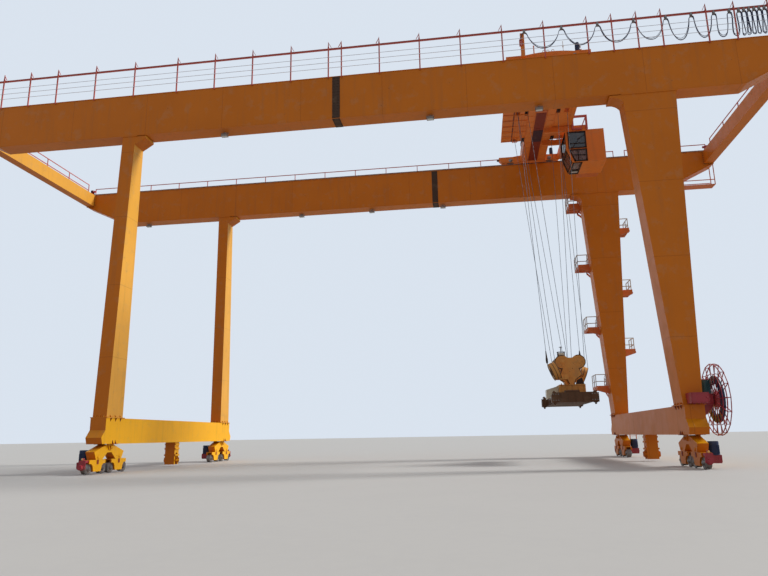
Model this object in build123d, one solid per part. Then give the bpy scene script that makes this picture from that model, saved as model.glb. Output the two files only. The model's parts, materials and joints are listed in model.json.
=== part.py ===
"""Rail-mounted gantry crane for containers, a 1:2 scale model.

X runs along the girders, Y across them (the near side is -Y), Z is up.
The origin is on the ground, under the middle of the girders' length and of the bridge's width.
All sizes are the model's, in millimetres: half of the real crane's.
"""

from build123d import *
import math
import os

os.makedirs("parts", exist_ok=True)

# Bridge
GAUGE = 15000
LEFT_OVERHANG = 6150
RIGHT_OVERHANG = 4150
GIRDER_SPACING = 7400
GIRDER_TOP = 11100
GIRDER_DEPTH = 1350
GIRDER_WIDTH = 535
TIP_DEPTH = 515
LEFT_TAPER = 1825
RIGHT_TAPER = 1750
FLANGE = 14
FLANGE_LIP = 16
SPLICE_WIDTH = 225
SPLICE_PLATE = 8
NEAR_SPLICE_X = -150
FAR_SPLICE_X = 2220
TIE_WIDTH = 330
TIE_DEPTH = 500
TIE_FLANGE = 18
TIE_FLANGE_LIP = 35
CRANE_RAIL_WIDTH = 36
CRANE_RAIL_HEIGHT = 60
CRANE_RAIL_FOOT = 70
CRANE_RAIL_INSET = 60
RAIL_END_GAP = 120

# Legs and sills
BASE_SPACING = 7800
SILL_BOTTOM = 760
SILL_DEPTH = 680
SILL_WIDTH = 450
SILL_OVERHANG = 610
SILL_NOSE = 165
SILL_SHOULDER = 360
SILL_SETBACK = 165
SILL_TOE = 60
SLENDER_WIDTH = 400
SLENDER_FOOT = 800
SLENDER_HEAD = 500
RIGID_FOOT_WIDTH = 450
RIGID_HEAD_INNER = 750
RIGID_HEAD_OUTER = 635
RIGID_FOOT = 750
RIGID_HEAD = 500
LEG_FLANGE = 20
LEG_FLANGE_LIP = 45
RIB_HEIGHT = 110
RIB_SHARES = (0.2, 0.5, 0.8)
RIB_THICKNESS = 12
HAUNCH = 330
HAUNCH_DEPTH = 300
HAUNCH_HOLLOW = 0.22

# Travel gear
EQUALISER_WIDTH = 250
EQUALISER_HEAD = 150
EQUALISER_ARM = 200
EQUALISER_CROTCH = 540
HEAD_GAP = 12
LUG_THICKNESS = 30
LUG_ROOT = 150
LUG_TIP = 70
LUG_END = 60
PIN_RADIUS = 40
PIN_DROP = 85
BOGIE_OFFSET = 510
WHEEL_SPACING = 640
WHEEL_RADIUS = 132
WHEEL_FLANGE = 15
WHEEL_WIDTH = 130
FLANGE_WIDTH = 22
BOGIE_WIDTH = 230
BOGIE_TOP = 365
BOGIE_END = 365
BOGIE_LEG = 168
BOGIE_LEG_BOTTOM = 70
BOGIE_NOTCH_LIP = 7
BOGIE_ROOF = 25
WHEEL_CLEAR = 8
SEAT = 0.3
DRIVE_HALF = 110
DRIVE_WIDTH = 290
DRIVE_BOTTOM = 120
DRIVE_TOP = 300
DRIVE_CHAMFER = 40
TRAVEL_MOTOR_RADIUS = 112
TRAVEL_MOTOR_OFFSET = 165
TRAVEL_MOTOR_TOP = 610
BUFFER_RADIUS = 60
BUFFER_LENGTH = 110
BUFFER_ARM = 140
BUFFER_Z = 190
BUFFER_PLATE = 180
BUFFER_SETBACK = 5
LAMP = 60
POST_WIDTH = 325
POST_LENGTH = 300
POST_BOTTOM = 60

# Fences, cable track and festoon
FENCE_BAR = 25
WIRE_BAR = 12
POST_PITCH = 1172
POST_START = 1130
POST_FOOT = 120
WIRE_HEIGHTS = (270, 445, 620)
TRACK_HEIGHT = 915
TRACK_DEPTH = 50
TRACK_WIDTH = 36
TRACK_WEB = 8
POST_TIP = 190
TRACK_Y_INSET = 45
HANDRAIL_HEIGHT = 500
HANDRAIL_PITCH = 1265
HANDRAIL_INSET = 30
CABLE_BAND = 60
CABLE_THICKNESS = 18
SADDLE = 120
SADDLE_DROP = 70
ARC_SHARE = 0.45
CARRIER_X = (5290, 6320, 7300, 8265, 9115, 9780, 10365, 10765, 11005)
CARRIER_LENGTH = 60
CARRIER_WIDTH = 44
BUNCH_PITCH = 130
BUNCH_TURNS = 10
BUNCH_SAG = 731

# The festoon cable's route: how far along X each point is, and how far under the saddles
TOW_END = ((5158, 230), (5187, 125), (5230, 0), (5350, 0))
LOOPS = (
    ((5403, 188), (5495, 358), (5638, 498), (5805, 542), (5972, 496), (6113, 354), (6207, 184)),
    ((6428, 194), (6515, 369), (6650, 511), (6808, 556), (6968, 514), (7101, 373), (7192, 198)),
    ((7403, 198), (7487, 383), (7616, 528), (7775, 575), (7934, 531), (8068, 388), (8158, 204)),
    ((8358, 204), (8431, 394), (8546, 547), (8689, 598), (8829, 552), (8948, 399), (9022, 209)),
    ((9192, 218), (9238, 431), (9320, 617), (9438, 698), (9562, 630), (9650, 438), (9700, 220)),
    ((9852, 218), (9886, 433), (9950, 616), (10058, 696), (10172, 624), (10246, 436), (10288, 219)),
    ((10424, 223), (10415, 442), (10433, 632), (10520, 731), (10627, 673), (10680, 456), (10699, 230)),
    ((10822, 220), (10800, 435), (10796, 620), (10828, 712), (10912, 718), (10952, 628), (10962, 440),
     (10951, 218)),
)

# Stair behind the far right leg
LANDING_Z = (2400, 3700, 4550, 5900, 6950, 8300, 9400)
LANDING_REACH = 430
LANDING_DEPTH = 900
LANDING_PLATE = 20
LANDING_BRACKET = 180
BRACKET_THICKNESS = 40
STAIR_WIDTH = 330
STAIR_GAP = 110
STRINGER = 18
STRINGER_DEPTH = 90
TREAD_RISE = 150
TREAD_PLATE = 10
TREAD_WIDTH = 90
GUARD_HEIGHT = 520
GUARD_SETBACK = 60
LADDER_BOTTOM = 250
LADDER_WIDTH = 220
RUNG_PITCH = 150

# Cable reel on the near right leg
REEL_RADIUS = 850
REEL_REACH = 605
REEL_OUTSET = 100
REEL_Z = 1570
REEL_WIDTH = 100
REEL_SPOKES = 16
REEL_BAR = 16
REEL_HUB = 190
SPOKE_ROOT = 170
WOUND_RADII = (380, 540)
REEL_SHAFT = 45
SHAFT_FIT = 0.05
SHAFT_DEPTH = 150
REEL_GEARBOX_LENGTH = 235
REEL_GAP = 45
REEL_GEARBOX_HALF = 130
REEL_MOTOR_RADIUS = 110
REEL_MOTOR_HEIGHT = 345
STAND_DEPTH = 330
STAND_WIDTH = 160
BOX_X = (-145, 255)
BOX_Z = (1470, 1710)
BOX_DEPTH = 330

# Floodlights and the platform at the far girder's right end
LIGHT_WIDTH = 200
LIGHT_BACK = 120
LIGHT_DROP = 70
LIGHT_HOOD = 60
NEAR_LIGHTS_X = (-3589, 2537, 5574)
FAR_LIGHTS_X = (-9889, -3251, -352, 2501)
PLATFORM_LENGTH = 1150
PLATFORM_WIDTH = 420
PLATFORM_Z = 9800
PLATFORM_RAIL = 180

# Trolley
TROLLEY_X = 5953
TROLLEY_LENGTH = 2366
CARRIAGE_WIDTH = 200
CARRIAGE_BOTTOM = 45
CARRIAGE_TOP = 265
TROLLEY_WHEEL = 115
TROLLEY_TREAD = 44
TROLLEY_FLANGE = 12
TROLLEY_WHEEL_WIDTH = 70
TROLLEY_WHEEL_BASE = 1470
BEAM_X = ((5600, 5850), (6224, 6500))
EDGE_BEAM_WIDTH = 136
BEAM_TOP = 11560
FRAME_CLEAR = 40
DECK_Y = (-1400, 1480)
DECK_PLATE = 15
CENTRE_DECK_Y = 3300
DECK_RIB = 20
DECK_RIB_PITCH = 420
SLOT_WIDTH = 150
SLOT_LENGTH = 300
DRUM_RADIUS = 200
DRUM_AXIS_Z = 11850
DRUM_Y = (-1200, 1900)
PEDESTAL_WIDTH = 120
PEDESTAL_HALF = 120
GUIDE_RADIUS = 110
GUIDE_WIDTH = 170
GUIDE_PLATE = 25
GUIDE_FOOT = 66
GUIDE_HEAD = 44
GEARBOX_LENGTH = 420
GEARBOX_HALF = 140
HOIST_MOTOR_RADIUS = 130
HOIST_MOTOR_LENGTH = 520
TOW_ARM_X = 5230
TOW_ARM_WIDTH = 110
TOW_ARM_DEPTH = 60
COVER_X = (5290, 6700)
COVER_WIDTH = 180
COVER_HEIGHT = 60

# Cab under the trolley's right end
CAB_X = (6900, 8180)
CAB_Y = (520, 1620)
CAB_Z = (9800, 10960)
CAB_WALL = 25
CAB_RAKE = 170
CAB_WINDOW_X = 655
FLOOR_WINDOW_X = (205, 475)
WINDOW_MARGIN = 70
SILL_RAIL = 480
PANE = 10
HANGER_WIDTH = 90
HANGER_END = 7600
BRACKET_BAR = 64
BRACKET_REACH = 524
BRACKET_TOE = 330
BRACKET_TOP = 11450

# Hoist and spreader
HEAD_X = 6310
SPREADER_X = 6222
ROPE_SLOT_X = (5260, 5577, 6542, 6840)
ROPE_SLOT_Y = (-640, 1380)
ROPE_PAIR = 90
ROPE_RADIUS = 7
ROPE_CLEAR = 0.8
SPREADER_BOTTOM = 1690
END_BEAM_DEPTH = 280
END_BEAM_WIDTH = 240
END_BEAM_LENGTH = 1295
LOCK_SPACING_X = 1129.5
LOCK_SPACING_Y = 2926.5
LOCK_RADIUS = 28
LOCK_LENGTH = 60
ARM_WIDTH = 120
ARM_HEIGHT = 180
ARM_CLEAR = 6
ARM_INNER_X = 110
ARM_OUTER_X = 300
ARM_LENGTH = 2000
MAIN_FRAME_WIDTH = 960
MAIN_FRAME_HEIGHT = 250
MAIN_FRAME_GAP = 23
HEAD_LOCK = 120
HEAD_LOCK_X = 250
HEAD_LOCK_Y = 400
HEAD_LOCK_HEIGHT = 52
HEAD_BASE_WIDTH = 760
HEAD_BASE_LENGTH = 1100
HEAD_BASE_HEIGHT = 268
CLOVER_Y = (-480, -280)
CLOVER_PLATE = 30
CLOVER_LOBE = 210
CLOVER_SPAN = 245
CLOVER_RISE = 680
CLOVER_SADDLE = 125
CLOVER_SHOULDER = (327, 290)
CLOVER_WAIST = (125, 140)
CLOVER_NECK = 65
SIDE_BLOCK_RADIUS = 260
SIDE_BLOCK_LENGTH = 200
SIDE_BLOCK_TILT = 22
SIDE_BLOCK_PLACE = (610, 770, 350)

# Worked-out places
GIRDER_LENGTH = GAUGE + LEFT_OVERHANG + RIGHT_OVERHANG
LEFT_TIP = -GIRDER_LENGTH / 2
RIGHT_TIP = GIRDER_LENGTH / 2
LEFT_RAIL = LEFT_TIP + LEFT_OVERHANG
RIGHT_RAIL = RIGHT_TIP - RIGHT_OVERHANG
GIRDER_Y = GIRDER_SPACING / 2
GIRDER_BOTTOM = GIRDER_TOP - GIRDER_DEPTH
CRANE_RAIL_Y = GIRDER_Y - GIRDER_WIDTH / 2 + CRANE_RAIL_INSET
LEG_BASE_Y = BASE_SPACING / 2
SILL_TOP = SILL_BOTTOM + SILL_DEPTH
SILL_HALF = LEG_BASE_Y + SILL_OVERHANG
LEG_BOTTOM = SILL_TOP
LEG_HEIGHT = GIRDER_BOTTOM - LEG_BOTTOM
PIN_Z = SILL_BOTTOM - PIN_DROP
AXLE_Z = WHEEL_RADIUS + WHEEL_FLANGE
RAIL_TOP = GIRDER_TOP + CRANE_RAIL_HEIGHT
NEAR_FENCE_Y = -(GIRDER_Y + GIRDER_WIDTH / 2 + FENCE_BAR / 2)
TRACK_Y = NEAR_FENCE_Y + TRACK_Y_INSET
TRACK_Z = GIRDER_TOP + TRACK_HEIGHT
SADDLE_Z = TRACK_Z - TRACK_DEPTH / 2 - SADDLE_DROP
BAND_Y = (TRACK_Y - CABLE_BAND / 2, TRACK_Y + CABLE_BAND / 2)
STAIR_Y = (LEG_BASE_Y + RIGID_FOOT / 2 + STAIR_GAP, LEG_BASE_Y + RIGID_FOOT / 2 + STAIR_GAP + STAIR_WIDTH)
REEL_X = RIGHT_RAIL + REEL_REACH
REEL_Y = -(LEG_BASE_Y + REEL_OUTSET)
GEARBOX_X1 = REEL_X - REEL_WIDTH / 2 - REEL_GAP
GEARBOX_X0 = GEARBOX_X1 - REEL_GEARBOX_LENGTH
BUNCH_X = CARRIER_X[-1] + SADDLE / 2
TROLLEY_LEFT = TROLLEY_X - TROLLEY_LENGTH / 2
TROLLEY_RIGHT = TROLLEY_X + TROLLEY_LENGTH / 2
EDGE_BEAM = (TROLLEY_RIGHT - EDGE_BEAM_WIDTH, TROLLEY_RIGHT)
DECK_X = ((TROLLEY_LEFT, BEAM_X[0][0]), (BEAM_X[1][1], EDGE_BEAM[0]))
TROLLEY_AXLE_Z = RAIL_TOP + SEAT + TROLLEY_WHEEL
FRAME_BOTTOM = GIRDER_TOP + FRAME_CLEAR
SPREADER_TOP = SPREADER_BOTTOM + MAIN_FRAME_HEIGHT
BASE_BOTTOM = SPREADER_TOP + HEAD_LOCK_HEIGHT
BASE_TOP = BASE_BOTTOM + HEAD_BASE_HEIGHT
LOBE_Z = BASE_TOP + CLOVER_RISE
MAIN_FRAME_HALF = LOCK_SPACING_Y / 2 - END_BEAM_WIDTH / 2 - MAIN_FRAME_GAP


def save(node, *pieces):
    """Write one node, of one or more solids."""
    solids = [solid for piece in pieces for solid in piece.solids()]
    export_step(solids[0] if len(solids) == 1 else Compound(children=solids), f"parts/{node}.step")


def block(x0, x1, y0, y1, z0, z1):
    """A box between two corners."""
    return Pos((x0 + x1) / 2, (y0 + y1) / 2, (z0 + z1) / 2) * Box(abs(x1 - x0), abs(y1 - y0), abs(z1 - z0))


def outline(points):
    """A flat face in space from its corners."""
    return Face(Wire.make_polygon([Vector(*point) for point in points], close=True))


def prism(points, direction):
    """A flat outline pushed out along a direction."""
    return Solid.extrude(outline(points), Vector(*direction))


def rod(start, end, radius):
    """A round bar from one point to another."""
    start = Vector(*start)
    run = Vector(*end) - start
    return Solid.make_cylinder(radius, run.length, Plane(origin=start, z_dir=run))


def bar(start, end, width):
    """A bar of square section from one point to another."""
    start = Vector(*start)
    run = Vector(*end) - start
    plane = Plane(origin=start, z_dir=run)
    section = plane * Rectangle(width, width)
    return Solid.extrude(section.face(), run)


def weld(first, *others):
    """One solid out of pieces that are welded together."""
    return first.fuse(*others)


def rectangle_at(x0, x1, y0, y1, z):
    """A level rectangle, as a loft's section."""
    return Wire.make_polygon([Vector(x0, y0, z), Vector(x1, y0, z), Vector(x1, y1, z), Vector(x0, y1, z)],
                             close=True)


# Bridge

def girder(side):
    """A box girder with proud flange edges, its ends tapered from below."""
    y = side * GIRDER_Y
    half = GIRDER_WIDTH / 2
    tip_bottom = GIRDER_TOP - TIP_DEPTH

    def section(inset):
        return [(LEFT_TIP + inset, GIRDER_TOP - inset), (LEFT_TIP + inset, tip_bottom + inset),
                (LEFT_TIP + LEFT_TAPER, GIRDER_BOTTOM + inset), (RIGHT_TIP - RIGHT_TAPER, GIRDER_BOTTOM + inset),
                (RIGHT_TIP - inset, tip_bottom + inset), (RIGHT_TIP - inset, GIRDER_TOP - inset)]

    beam = prism([(x, y - half, z) for x, z in section(0)], (0, GIRDER_WIDTH, 0))
    near = prism([(x, y - half, z) for x, z in section(FLANGE)], (0, FLANGE_LIP, 0))
    far = prism([(x, y + half - FLANGE_LIP, z) for x, z in section(FLANGE)], (0, FLANGE_LIP, 0))
    return beam.cut(near, far)


def splice(x, side):
    """The plates of one girder splice: one on each web and one under the bottom flange."""
    y = side * GIRDER_Y
    web = GIRDER_WIDTH / 2 - FLANGE_LIP
    x0, x1 = x - SPLICE_WIDTH / 2, x + SPLICE_WIDTH / 2
    low, high = GIRDER_BOTTOM + FLANGE, GIRDER_TOP - FLANGE
    return [block(x0, x1, y - web - SPLICE_PLATE, y - web, low, high),
            block(x0, x1, y + web, y + web + SPLICE_PLATE, low, high),
            block(x0, x1, y - GIRDER_WIDTH / 2, y + GIRDER_WIDTH / 2, GIRDER_BOTTOM - SPLICE_PLATE, GIRDER_BOTTOM)]


def crane_rail(side):
    """A rail over a girder's inner web: foot, web and head in one profile."""
    y = side * CRANE_RAIL_Y
    foot, head, web = CRANE_RAIL_FOOT / 2, CRANE_RAIL_WIDTH / 2, CRANE_RAIL_WIDTH / 6
    z0, z3 = GIRDER_TOP, RAIL_TOP
    z1, z2 = z0 + CRANE_RAIL_HEIGHT / 5, z3 - CRANE_RAIL_HEIGHT / 3
    half = [(foot, z0), (foot, z1), (web, z1), (web, z2), (head, z2), (head, z3)]
    section = half + [(-dy, z) for dy, z in reversed(half)]
    start = LEFT_TIP + RAIL_END_GAP
    return prism([(start, y + dy, z) for dy, z in section], (GIRDER_LENGTH - 2 * RAIL_END_GAP, 0, 0))


def tie_beam(tip, inward):
    """A box beam joining the two girders at their tips, bolted between end flanges."""
    reach = GIRDER_Y - GIRDER_WIDTH / 2
    x0, x1 = sorted((tip, tip + inward * TIE_WIDTH))
    z0 = GIRDER_TOP - TIE_DEPTH
    beam = block(x0, x1, -reach, reach, z0, GIRDER_TOP)
    lip = TIE_FLANGE_LIP
    plates = [block(x0 if inward > 0 else x0 - lip, x1 + lip if inward > 0 else x1, side * reach,
                    side * (reach - TIE_FLANGE), z0 - lip, GIRDER_TOP) for side in (-1, 1)]
    return weld(beam, *plates)


# Legs and sills

def leg(rail_x, side, foot_x, head_x, foot_y, head_y, inward, curved):
    """A tapered box leg with its end flanges, ribs and the haunch on its span side."""
    foot_mid, head_mid = side * LEG_BASE_Y, side * GIRDER_Y
    low, high = LEG_BOTTOM + LEG_FLANGE, GIRDER_BOTTOM - LEG_FLANGE
    fx0, fx1 = rail_x + foot_x[0], rail_x + foot_x[1]
    hx0, hx1 = rail_x + head_x[0], rail_x + head_x[1]
    fy0, fy1 = foot_mid - foot_y / 2, foot_mid + foot_y / 2
    hy0, hy1 = head_mid - head_y / 2, head_mid + head_y / 2
    shaft = Solid.make_loft([rectangle_at(fx0, fx1, fy0, fy1, low), rectangle_at(hx0, hx1, hy0, hy1, high)],
                            ruled=True)
    lip, ledge = LEG_FLANGE_LIP, (GIRDER_WIDTH - head_y) / 2
    pieces = [block(fx0 - lip, fx1 + lip, fy0 - lip, fy1 + lip, LEG_BOTTOM, low),
              block(hx0 - lip, hx1 + lip, hy0 - ledge, hy1 + ledge, high, GIRDER_BOTTOM)]
    root = RIB_HEIGHT / 4
    for share in RIB_SHARES:
        y = fy0 + share * foot_y
        for face, out in ((fx0, -1), (fx1, 1)):
            pieces.append(prism([(face - out * root, y, low), (face + out * lip, y, low),
                                 (face - out * root, y, low + RIB_HEIGHT)], (0, RIB_THICKNESS, 0)))
    for share in RIB_SHARES:
        x = fx0 + share * (fx1 - fx0)
        for face, out in ((fy0, -1), (fy1, 1)):
            pieces.append(prism([(x, face - out * root, low), (x, face + out * lip, low),
                                 (x, face - out * root, low + RIB_HEIGHT)], (RIB_THICKNESS, 0, 0)))
    pieces.append(haunch(hx1 if inward > 0 else hx0, inward, hy0, hy1, high, curved))
    return weld(shaft, *pieces)


def haunch(x, inward, y0, y1, z, curved):
    """The gusset box between a leg's head and the girder, straight or hollowed to an arc."""
    nose, root = HAUNCH_DEPTH / 5, RIB_HEIGHT / 2
    back, tip = x - inward * root, x + inward * HAUNCH
    corners = [Vector(back, y0, z), Vector(tip, y0, z), Vector(tip, y0, z - nose),
               Vector(back, y0, z - HAUNCH_DEPTH)]
    if not curved:
        return prism([tuple(corner) for corner in corners], (0, y1 - y0, 0))
    sag = (corners[2] + corners[3]) * 0.5 + Vector(-inward, 0, 1) * (HAUNCH_DEPTH * HAUNCH_HOLLOW)
    edges = [Edge.make_line(corners[0], corners[1]), Edge.make_line(corners[1], corners[2]),
             Edge.make_three_point_arc(corners[2], sag, corners[3]), Edge.make_line(corners[3], corners[0])]
    return Solid.extrude(Face(Wire(edges)), Vector(0, y1 - y0, 0))


def sill(rail_x):
    """A sill beam with beaked ends, the hinge lugs of its equalisers and their pin bosses."""
    shoulder = SILL_BOTTOM + SILL_SHOULDER
    half = SILL_WIDTH / 2
    right = [(SILL_HALF - SILL_TOE, SILL_BOTTOM), (SILL_HALF, SILL_BOTTOM + SILL_NOSE),
             (SILL_HALF - SILL_SETBACK, shoulder), (SILL_HALF - SILL_SETBACK, SILL_TOP)]
    section = right + [(-y, z) for y, z in reversed(right)]
    beam = prism([(rail_x - half, y, z) for y, z in section], (SILL_WIDTH, 0, 0))
    lugs = []
    gap = EQUALISER_WIDTH / 2 + SEAT
    for side in (-1, 1):
        y = side * LEG_BASE_Y
        for out in (-1, 1):
            x0 = rail_x + out * gap
            x1 = x0 + out * LUG_THICKNESS
            low = PIN_Z - LUG_END
            lugs.append(prism([(x0, y - LUG_ROOT, SILL_BOTTOM), (x0, y + LUG_ROOT, SILL_BOTTOM),
                               (x0, y + LUG_TIP, low), (x0, y - LUG_TIP, low)], (x1 - x0, 0, 0)))
            lugs.append(rod((x1, y, PIN_Z), (x1 + out * LUG_THICKNESS, y, PIN_Z), PIN_RADIUS))
    return weld(beam, *lugs)


# Travel gear

def equaliser(rail_x, side):
    """A forked beam that shares a corner's load between two bogies, hung from the sill's lugs."""
    y = side * LEG_BASE_Y
    foot = BOGIE_TOP + SEAT
    right = [(EQUALISER_HEAD, SILL_BOTTOM - HEAD_GAP), (BOGIE_OFFSET + EQUALISER_ARM, foot + EQUALISER_ARM),
             (BOGIE_OFFSET + EQUALISER_ARM / 2, foot), (BOGIE_OFFSET - EQUALISER_ARM, foot),
             (EQUALISER_ARM / 2, EQUALISER_CROTCH)]
    section = right + [(-dy, z) for dy, z in reversed(right)]
    x0 = rail_x - EQUALISER_WIDTH / 2
    return prism([(x0, y + dy, z) for dy, z in section], (EQUALISER_WIDTH, 0, 0))


def bogie(rail_x, y):
    """A two-wheel bogie: twin side plates with half-round wheel notches and a deep centre box."""
    axle, radius = WHEEL_SPACING / 2, WHEEL_RADIUS - BOGIE_NOTCH_LIP
    end_z = AXLE_Z + math.sqrt(radius ** 2 - (BOGIE_END - axle) ** 2)
    x0 = rail_x - BOGIE_WIDTH / 2
    high = math.sqrt(0.5) * radius

    def at(dy, z):
        return Vector(x0, y + dy, z)

    edges = []
    for s in (1, -1):
        edges += [Edge.make_line(at(0, BOGIE_TOP), at(s * BOGIE_END, BOGIE_TOP)),
                  Edge.make_line(at(s * BOGIE_END, BOGIE_TOP), at(s * BOGIE_END, end_z)),
                  Edge.make_three_point_arc(at(s * BOGIE_END, end_z), at(s * (axle - high), AXLE_Z + high),
                                            at(s * (axle - radius), AXLE_Z)),
                  Edge.make_line(at(s * (axle - radius), AXLE_Z), at(s * BOGIE_LEG, BOGIE_LEG_BOTTOM)),
                  Edge.make_line(at(s * BOGIE_LEG, BOGIE_LEG_BOTTOM), at(0, BOGIE_LEG_BOTTOM))]
    frame = Solid.extrude(Face(Wire(edges)), Vector(BOGIE_WIDTH, 0, 0))
    pocket = WHEEL_WIDTH / 2 + SEAT
    inner = axle - WHEEL_RADIUS - WHEEL_FLANGE - WHEEL_CLEAR
    roof = BOGIE_TOP - BOGIE_ROOF
    pockets = [block(rail_x - pocket, rail_x + pocket, y + s * inner, y + s * BOGIE_END * 2, 0, roof)
               for s in (-1, 1)]
    return frame.cut(*[piece.solid() for piece in pockets])


def wheel(rail_x, y):
    """A travel wheel with one flange on the span side."""
    half = WHEEL_WIDTH / 2
    inward = 1 if rail_x < 0 else -1
    rim = WHEEL_RADIUS + WHEEL_FLANGE
    section = [(-half, 0), (half, 0), (half, rim), (half - FLANGE_WIDTH, rim),
               (half - FLANGE_WIDTH, WHEEL_RADIUS), (-half, WHEEL_RADIUS)]
    face = outline([(rail_x + inward * dx, y, AXLE_Z + r) for dx, r in section])
    return Solid.revolve(face, 360, Axis((rail_x, y, AXLE_Z), (1, 0, 0)))


def travel_drive(rail_x, side):
    """The gearbox on the outer plate of a corner's near bogie, chamfered along its foot."""
    out = -1 if rail_x < 0 else 1
    y = side * LEG_BASE_Y - BOGIE_OFFSET
    x0 = rail_x + out * BOGIE_WIDTH / 2
    half, foot, low, top = DRIVE_HALF, DRIVE_HALF - DRIVE_CHAMFER, DRIVE_BOTTOM, DRIVE_TOP
    return prism([(x0, y - foot, low), (x0, y + foot, low), (x0, y + half, low + DRIVE_CHAMFER),
                  (x0, y + half, top), (x0, y - half, top), (x0, y - half, low + DRIVE_CHAMFER)],
                 (out * DRIVE_WIDTH, 0, 0))


def travel_motor(rail_x, side):
    """The upright motor on a corner's gearbox."""
    out = -1 if rail_x < 0 else 1
    x, y = rail_x + out * (BOGIE_WIDTH / 2 + TRAVEL_MOTOR_OFFSET), side * LEG_BASE_Y - BOGIE_OFFSET
    return rod((x, y, DRIVE_TOP + SEAT), (x, y, TRAVEL_MOTOR_TOP), TRAVEL_MOTOR_RADIUS)


def buffer(rail_x, side):
    """The end buffer of a corner: a bracket on the bogie's end, a round rubber nose and its lamp."""
    start = side * (LEG_BASE_Y + BOGIE_OFFSET + BOGIE_END)
    mid = start + side * BUFFER_ARM
    half, top = BUFFER_PLATE / 2, BOGIE_TOP - BUFFER_SETBACK
    arm = block(rail_x - half, rail_x + half, start, mid, top - BUFFER_RADIUS, top)
    plate = block(rail_x - half, rail_x + half, mid - side * BUFFER_PLATE / 8, mid, BUFFER_Z - half / 2, top)
    nose = rod((rail_x, mid, BUFFER_Z), (rail_x, mid + side * BUFFER_LENGTH, BUFFER_Z), BUFFER_RADIUS)
    lamp = block(rail_x - LAMP / 2, rail_x + LAMP / 2, mid, mid - side * LAMP, top, top + LAMP)
    return weld(arm, plate, nose, lamp)


def anchor_post(rail_x):
    """The storm-anchor post under a sill's middle, forked at its foot."""
    half, slot = POST_LENGTH / 2, POST_LENGTH / 4
    x0 = rail_x - POST_WIDTH / 2
    arch = POST_BOTTOM + POST_LENGTH

    def at(y, z):
        return Vector(x0, y, z)

    corners = [at(-slot, arch), at(-slot, POST_BOTTOM), at(-half, POST_BOTTOM), at(-half, SILL_BOTTOM),
               at(half, SILL_BOTTOM), at(half, POST_BOTTOM), at(slot, POST_BOTTOM), at(slot, arch)]
    edges = [Edge.make_line(a, b) for a, b in zip(corners, corners[1:])]
    edges.append(Edge.make_three_point_arc(corners[-1], at(0, arch + slot), corners[0]))
    return Solid.extrude(Face(Wire(edges)), Vector(POST_WIDTH, 0, 0))


# Fences, cable track and festoon

def post_places():
    """Where the near girder's posts stand along X: evenly pitched, with one at each tip."""
    left, right = LEFT_TIP + FENCE_BAR, RIGHT_TIP - FENCE_BAR
    first = math.ceil((left + POST_PITCH / 3 - POST_START) / POST_PITCH)
    last = math.floor((right - POST_PITCH / 3 - POST_START) / POST_PITCH)
    return [left, *(POST_START + index * POST_PITCH for index in range(first, last + 1)), right]


def near_fence():
    """Pointed posts on the near girder with three guard wires and the arms that hold the cable track."""
    half = FENCE_BAR / 2
    foot, top = GIRDER_TOP - POST_FOOT, TRACK_Z + TRACK_DEPTH / 2
    y0 = NEAR_FENCE_Y - half
    posts = []
    for x in post_places():
        posts.append(prism([(x - half, y0, foot), (x + half, y0, foot), (x + half, y0, top),
                            (x, y0, top + POST_TIP), (x - half, y0, top)], (0, FENCE_BAR, 0)))
        posts.append(block(x - half, x + half, y0, TRACK_Y + TRACK_WIDTH / 2, top, top + FENCE_BAR))
    wires = [block(LEFT_TIP + FENCE_BAR, RIGHT_TIP - FENCE_BAR, NEAR_FENCE_Y - WIRE_BAR / 2,
                   NEAR_FENCE_Y + WIRE_BAR / 2, GIRDER_TOP + height, GIRDER_TOP + height + WIRE_BAR)
             for height in WIRE_HEIGHTS]
    return weld(*wires, *posts)


def cable_track():
    """The I-section track that the cable carriers run on."""
    half, web = TRACK_WIDTH / 2, TRACK_WEB / 2
    z0, z1 = TRACK_Z - TRACK_DEPTH / 2, TRACK_Z + TRACK_DEPTH / 2
    right = [(half, z0), (half, z0 + TRACK_WEB), (web, z0 + TRACK_WEB), (web, z1 - TRACK_WEB),
             (half, z1 - TRACK_WEB), (half, z1)]
    section = right + [(-dy, z) for dy, z in reversed(right)]
    return prism([(LEFT_TIP, TRACK_Y + dy, z) for dy, z in section], (GIRDER_LENGTH, 0, 0))


def carrier(x):
    """A cable carrier: the block that hangs under the track and holds the cables' saddle."""
    return block(x - CARRIER_LENGTH / 2, x + CARRIER_LENGTH / 2, TRACK_Y - CARRIER_WIDTH / 2,
                 TRACK_Y + CARRIER_WIDTH / 2, SADDLE_Z + CABLE_THICKNESS / 2 + SEAT,
                 TRACK_Z - TRACK_DEPTH / 2)


def festoon_route():
    """The route of the cable band: up from the tow arm, then flat over each carrier's saddle with a loop between."""
    points = list(TOW_END)
    for carrier_x, loop in zip(CARRIER_X[1:], LOOPS):
        points += [*loop, (carrier_x - SADDLE / 2, 0), (carrier_x + SADDLE / 2, 0)]
    return [Vector(x, SADDLE_Z - drop) for x, drop in points]


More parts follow.
